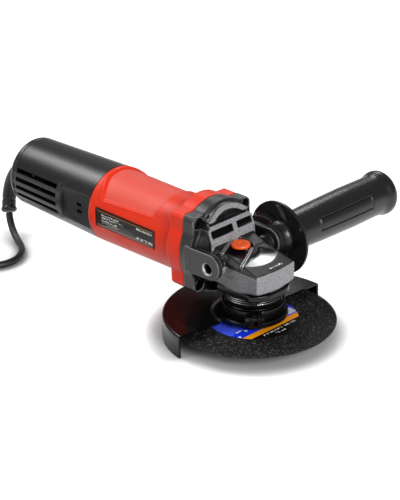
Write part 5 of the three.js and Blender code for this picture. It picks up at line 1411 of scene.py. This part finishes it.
def plate_field(x, y, z):
    """The flange plate, cut flat at both sides and at the front, less the bearing's seat and
    the four screw holes."""
    reach = np.hypot(x, y)
    plate = bounded(reach - PLATE_R, np.abs(y) - PLATE_FLAT, x - 25.7, np.abs(z - 40.5) - 2.4)
    screw = np.hypot(np.abs(x) - 16.6, np.abs(y) - 16.6)
    return without(plate, (0.3, reach - 17.8), (0.3, screw - 2.1))


plate_skin = lattice_skin(plate_field, (-28.5, -22.8, 36.9), (27.3, 22.8, 44.2), 0.5)
neck_profile = [(9.4, 20.0), (19.4, 20.0), (NECK_R, 20.6), (NECK_R, 29.9), (21.6, 30.3)]
neck_profile += [(21.8, 30.6), (21.8, 33.0)]
for z in (33.4, 35.0, 36.6):
    neck_profile += [(21.8, z), (22.5, z + 0.25), (22.7, z + 0.6), (22.5, z + 0.95)]
    neck_profile += [(21.8, z + 1.2)]
neck_profile += [(21.8, 38.6), (17.8, 38.6), (17.8, 30.9), (14.5, 30.9), (14.5, 23.0)]
neck_profile.append((9.4, 23.0))
neck_points, neck_faces, _ = tyre(lathe("z", neck_profile, segments=144))
ring_row = np.repeat([r > 22.6 for r, _ in neck_profile], 144).astype(int)
worn_edge = grained("paint_worn_to_the_metal", "#A6A7A9", 0.30, 0.08, 0.6, 0.02, **STEEL)
cover_parts = [(plate_skin[0], [plate_skin[1]], 0), (neck_points, neck_faces, ring_row)]
put("bearing_cover_casting", cover_parts, "bearing_cover", "cast_painted",
    looks=[FINISHES["painted_steel"], worn_edge], sharp=50.0)

# %% Nut
NUT_LOW, NUT_TOP, NUT_R, NUT_BORE = 2.8, 10.8, 19.0, 7.2


def nut_field(x, y, z):
    """A disc with a raised hub below, a threaded bore, two pin holes and a ring-shaped
    undercut. The thread is 0.3 sin of the height less the angle round, 2 mm a turn."""
    reach = np.hypot(x, y)
    plate = bounded(reach - NUT_R, z - NUT_TOP, NUT_LOW + 3.0 - z, edge=0.8)
    hub = bounded(reach - 11.4, z - NUT_TOP, NUT_LOW - z, edge=0.6)
    thread = 0.3 * np.sin(np.pi * z - np.arctan2(y, x))
    pin_hole = np.hypot(np.abs(x) - 15.0, y) - 2.1
    return without(
        joined(plate, (0.8, hub)),
        (0.3, bounded((reach - NUT_BORE - 0.3 - thread) * 0.7, z - 30)),
        (0.3, bounded(pin_hole, z - NUT_LOW - 6.0)),
        (0.2, bounded(reach - 15.0, NUT_TOP - 0.6 - z, edge=0.2)),
    )


nut_points, nut_quads = lattice_skin(nut_field, (-20.2, -20.2, 1.7), (20.2, 20.2, 12.0), 0.45)
put("flange_nut_turned", [(nut_points, [nut_quads], 0)], "flange_nut", "ground_steel",
    "spindle", sharp=180.0)

# %% Inner flange
flange_profile = [(7.2, 11.3), (10.8, 11.3), (10.8, 12.7), (15.0, 12.7), (15.0, 12.2)]
flange_profile += [(19.0, 12.2), (19.0, 14.8), (12.4, 17.6), (7.2, 17.6)]
flange_profile = eased(flange_profile, 0.35, closed=True)
blackened = [FINISHES["black_steel"]]
flange = tyre(lathe("z", flange_profile, segments=96))
put("inner_flange_turned", [flange], "inner_flange", "ground_steel", "spindle", blackened)

# %% [markdown]
# ## Screws
# All the screws that show are hexagon-socket cap screws. One profile serves them all: a
# lathe whose ripple turns the socket's two inner rows into a hexagon.

# %% Socket screws
def socket_screw(axis, centre, head_end, head_r, head_high, tip, shank_r):
    """Rings from the socket's floor over the head to the tip. The socket's radius is
    s cos 30 / cos(a - 60 k), with a - 60 k the angle from the nearest flat's middle."""
    s = math.copysign(1.0, tip - head_end)
    socket = 0.52 * head_r
    under = head_end + s * head_high
    rows = [(0.02, head_end + s * 0.6 * head_high), (socket, head_end + s * 0.6 * head_high)]
    rows += [(socket, head_end + s * 0.15), (socket + 0.2, head_end), (head_r - 0.5, head_end)]
    rows += [(head_r, head_end + s * 0.5), (head_r, under), (shank_r, under)]
    rows += [(shank_r, tip - s * 0.5), (shank_r - 0.5, tip), (0.02, tip)]

    def hexagon(angle, radius, height):
        off = np.mod(angle, np.pi / 3) - np.pi / 6
        six = math.cos(np.pi / 6) / np.cos(off)
        in_socket = (np.arange(len(radius)) < 3)[:, None] & (radius > 0.1)
        return np.where(in_socket, radius * six, radius), height

    return capped(lathe(axis, rows, centre, 48, hexagon))


for k in range(1, 5):
    low, high = box_mm(f"gear_housing_screw_{k}")
    screw = socket_screw("x", (low + high)[1:] / 2, high[0], 4.0, 3.4, low[0], 2.35)
    put(f"gear_housing_socket_screw_{k}", [screw], f"gear_housing_screw_{k}", "black_steel")
    low, high = box_mm(f"bearing_cover_screw_{k}")
    screw = socket_screw("z", (low + high)[:2] / 2, low[2], 3.2, 2.6, high[2], 1.85)
    put(f"bearing_cover_socket_screw_{k}", [screw], f"bearing_cover_screw_{k}", "black_steel")
lug_face, lug_middle = SLIT / 2 + LUG_THICK, (SCREW_REACH, sum(BAND_Z) / 2)
screw = socket_screw("y", lug_middle, -lug_face - 3.1, 3.3, 3.0, lug_face + 1.6, 1.95)
screw = moved(screw, lambda q: turned_about_spindle(q, LUG_TURN))
put("clamp_socket_screw", [screw], "clamp_screw", "ground_steel", "guard", blackened)

# %% [markdown]
# ## Rating plate
# A printed film let into the near side of the housing. The print says nothing: two thin
# orange lines, three pale dashed rows and a few plain signs, each field a box in x and z
# with a cell pattern in it, printed the same way as the disc's label.

# %% Plate
plate_fields = [
    ((-107.8, 31.0, 67.6, 0.18), 1.0, 0.0, WHOLE, "#C8772A"),
    ((-107.8, 31.0, 56.2, 0.18), 1.0, 0.0, WHOLE, "#C8772A"),
    ((-124.0, 10.0, 65.2, 0.7), 1.5, 0.5, 0.34, "#E4E4E2"),
    ((-122.0, 12.0, 62.9, 0.7), 1.5, 0.6, 0.34, "#E4E4E2"),
    ((-125.0, 9.0, 60.6, 0.7), 1.5, 0.5, 0.34, "#E4E4E2"),
    ((-124.0, 10.0, 58.3, 0.7), 1.5, 0.4, 0.30, "#B9B9B6"),
    ((-86.0, 8.5, 65.4, 0.8), 1.5, 0.4, 0.36, "#E4E4E2"),
    ((-86.0, 9.0, 61.0, 1.9), 4.6, 0.1, 0.36, "#E4E4E2"),
    ((-86.0, 9.0, 57.9, 0.9), 1.4, 0.3, 0.40, "#E4E4E2"),
]
FINISHES["label_film"] = printed("printed_plate_film", "#070707", 0.30, 2, plate_fields)
low, high = box_mm("rating_plate")
plate_corners = [(low[0], low[2]), (high[0], low[2]), (high[0], high[2]), (low[0], high[2])]
plate_outline = eased(plate_corners, 1.0, closed=True)
middle = plate_outline.mean(axis=0)
plate_rings = []
for y, scale in ((high[1], 1.0), (low[1] + 0.12, 1.0), (low[1], 0.985)):
    ring = middle + (plate_outline - middle) * scale
    plate_rings.append(np.insert(ring, 1, y, axis=1))
put("rating_plate_film", [capped(np.array(plate_rings))], "rating_plate", "label_film")

# %% [markdown]
# ## Slide switch
# The switch's slider rides on the far side: a wedge with a scooped thumb rest and a row of
# ridges. Rings of one rounded oblong whose top follows a curve make it.

# %% Slider
low, high = box_mm("switch_slider")
slider_x = np.linspace(low[0], high[0], 136)
slider_share = (slider_x - low[0]) / (high[0] - low[0])
slider_top = high[1] - 0.5 + 0.5 * slider_share
slider_top -= 1.4 * bell(slider_share, 0.62, 0.16)
ridges = np.maximum(np.sin(slider_x * 2 * np.pi / 2.2), 0)
slider_top += 0.45 * ridges * inside(slider_share, 0.12, 0.44, 0.03)
slider_top -= 2.6 * (1 - soft_step(slider_share, 0.0, 0.05) + soft_step(slider_share, 0.95, 1.0))
slider_foot = 31.15
half = (high[2] - low[2]) / 2
slider_rings = []
for x, top in zip(slider_x, slider_top):
    corners = [(slider_foot, -half), (top, -half), (top, half), (slider_foot, half)]
    ring = eased(corners, 0.9, closed=True, steps=4)
    slider_rings.append(at_x(x, ring + [0.0, AXIS_Z]))
thumb_rest = capped(np.array(slider_rings))
stem = block_between((-96.0, 26.9, 58.4), (-81.0, 31.4, 63.6))
put("switch_slider_cap", [thumb_rest, stem], "switch_slider", "black_nylon", "switch_slider")

# %% [markdown]
# ## What stays as engineered
# The parts inside and the shafts keep their engineered surfaces. Each gets the finish of
# its record slot, so that an opened or see-through view is right too.

# %% Finishes for the rest
sheet_values = {**STEEL, "Roughness": 0.42, "Base Color": colour("#777A7D")}
sheets, sheets_shader, place = start_material("stacked_electrical_sheets", sheet_values)
wave = {"Scale": 0.31, "bands_direction": "X"}
lines = add_node(sheets, "TexWave", wave, {"Vector": place}).outputs[0]
stack = add_node(sheets, "Bump", {"Distance": 0.1 * MM}, {"Height": lines}).outputs[0]
feed(sheets, sheets_shader, {"Normal": stack})
FINISHES["laminations"] = sheets
slot_of = {row["node"]: row["material_slot"] for row in frame["record"]["subparts"]}
for name, thing in frame["nodes"].items():
    if name in slot_of and thing.name in bpy.data.objects:
        thing.data.materials.clear()
        thing.data.materials.append(FINISHES[slot_of[name]])
print("finished nodes", len(frame["nodes"]))

# %% [markdown]
# ## Light and floor
# The floor is a plain pale sheet, lifted a little for the camera alone so that it comes out
# white, and for the reflections in glossy walls. Where something stands within 18 mm of it,
# that lift fades out and its shadow stays. The light is soft: a lamp high over the tail, one
# to the left, one to the right, and a low one behind that the slanting tops mirror, in a dim
# even surround, so that every colour comes out about as it is written.

# %% Floor
floor_z = min(corner[2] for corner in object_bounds())
bpy.ops.mesh.primitive_plane_add(size=6.0, location=(0.0, 0.0, floor_z - 0.0002))
floor = bpy.context.object
floor.name = "bench_top"
floor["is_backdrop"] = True
floor_paint = bpy.data.materials.new("pale_floor")
floor_paint.use_nodes = True
floor_shader = floor_paint.node_tree.nodes["Principled BSDF"]
floor_values = {
    "Base Color": (0.45, 0.45, 0.45, 1.0), "Emission Color": (0.85, 0.85, 0.85, 1.0),
    "Roughness": 0.9, SHEEN: 0.0,
}
for key, value in floor_values.items():
    floor_shader.inputs[key].default_value = value
rays = add_node(floor_paint, "LightPath").outputs
seen = {0: rays["Is Camera Ray"], 1: rays["Is Glossy Ray"]}
seen = add_node(floor_paint, "Math", {"operation": "MAXIMUM"}, seen).outputs[0]
clear = add_node(floor_paint, "AmbientOcclusion", {"Distance": 0.018}, {"Color": seen}).outputs[0]
lift = add_node(floor_paint, "Math", {"operation": "POWER", 1: 5.0}, {0: clear}).outputs[0]
feed(floor_paint, floor_shader, {"Emission Strength": lift})
floor.data.materials.append(floor_paint)


# %% Lamps and surround
def soft_lamp(name, place, aim, size, power):
    """A square area lamp at place that faces aim."""
    light = bpy.data.lights.new(name, "AREA")
    light.shape, light.size, light.energy = "SQUARE", size, power
    back = unit(np.subtract(place, aim))
    side = unit(np.cross([0, 0, 1], back))
    stand(name, light, side, np.cross(back, side), back, place)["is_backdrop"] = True


TARGET = (-0.08, 0.0, 0.06)
soft_lamp("key_lamp", (-0.95, -0.16, 1.0), TARGET, 0.45, 8.0)
soft_lamp("left_lamp", (-0.5, -1.05, 0.72), TARGET, 0.65, 3.5)
soft_lamp("right_lamp", (1.25, -0.40, 0.75), TARGET, 0.6, 20.0)
soft_lamp("back_lamp", (-0.75, 0.85, 0.95), (0.0, 0.0, 0.06), 0.4, 3.5)

world = bpy.data.worlds.new("surround")
bpy.context.scene.world = world
world.use_nodes = True
surround = world.node_tree.nodes["Background"].inputs
surround["Color"].default_value = (1.0, 1.0, 1.0, 1.0)
surround["Strength"].default_value = 0.23
bpy.context.scene.view_settings.view_transform = "Standard"
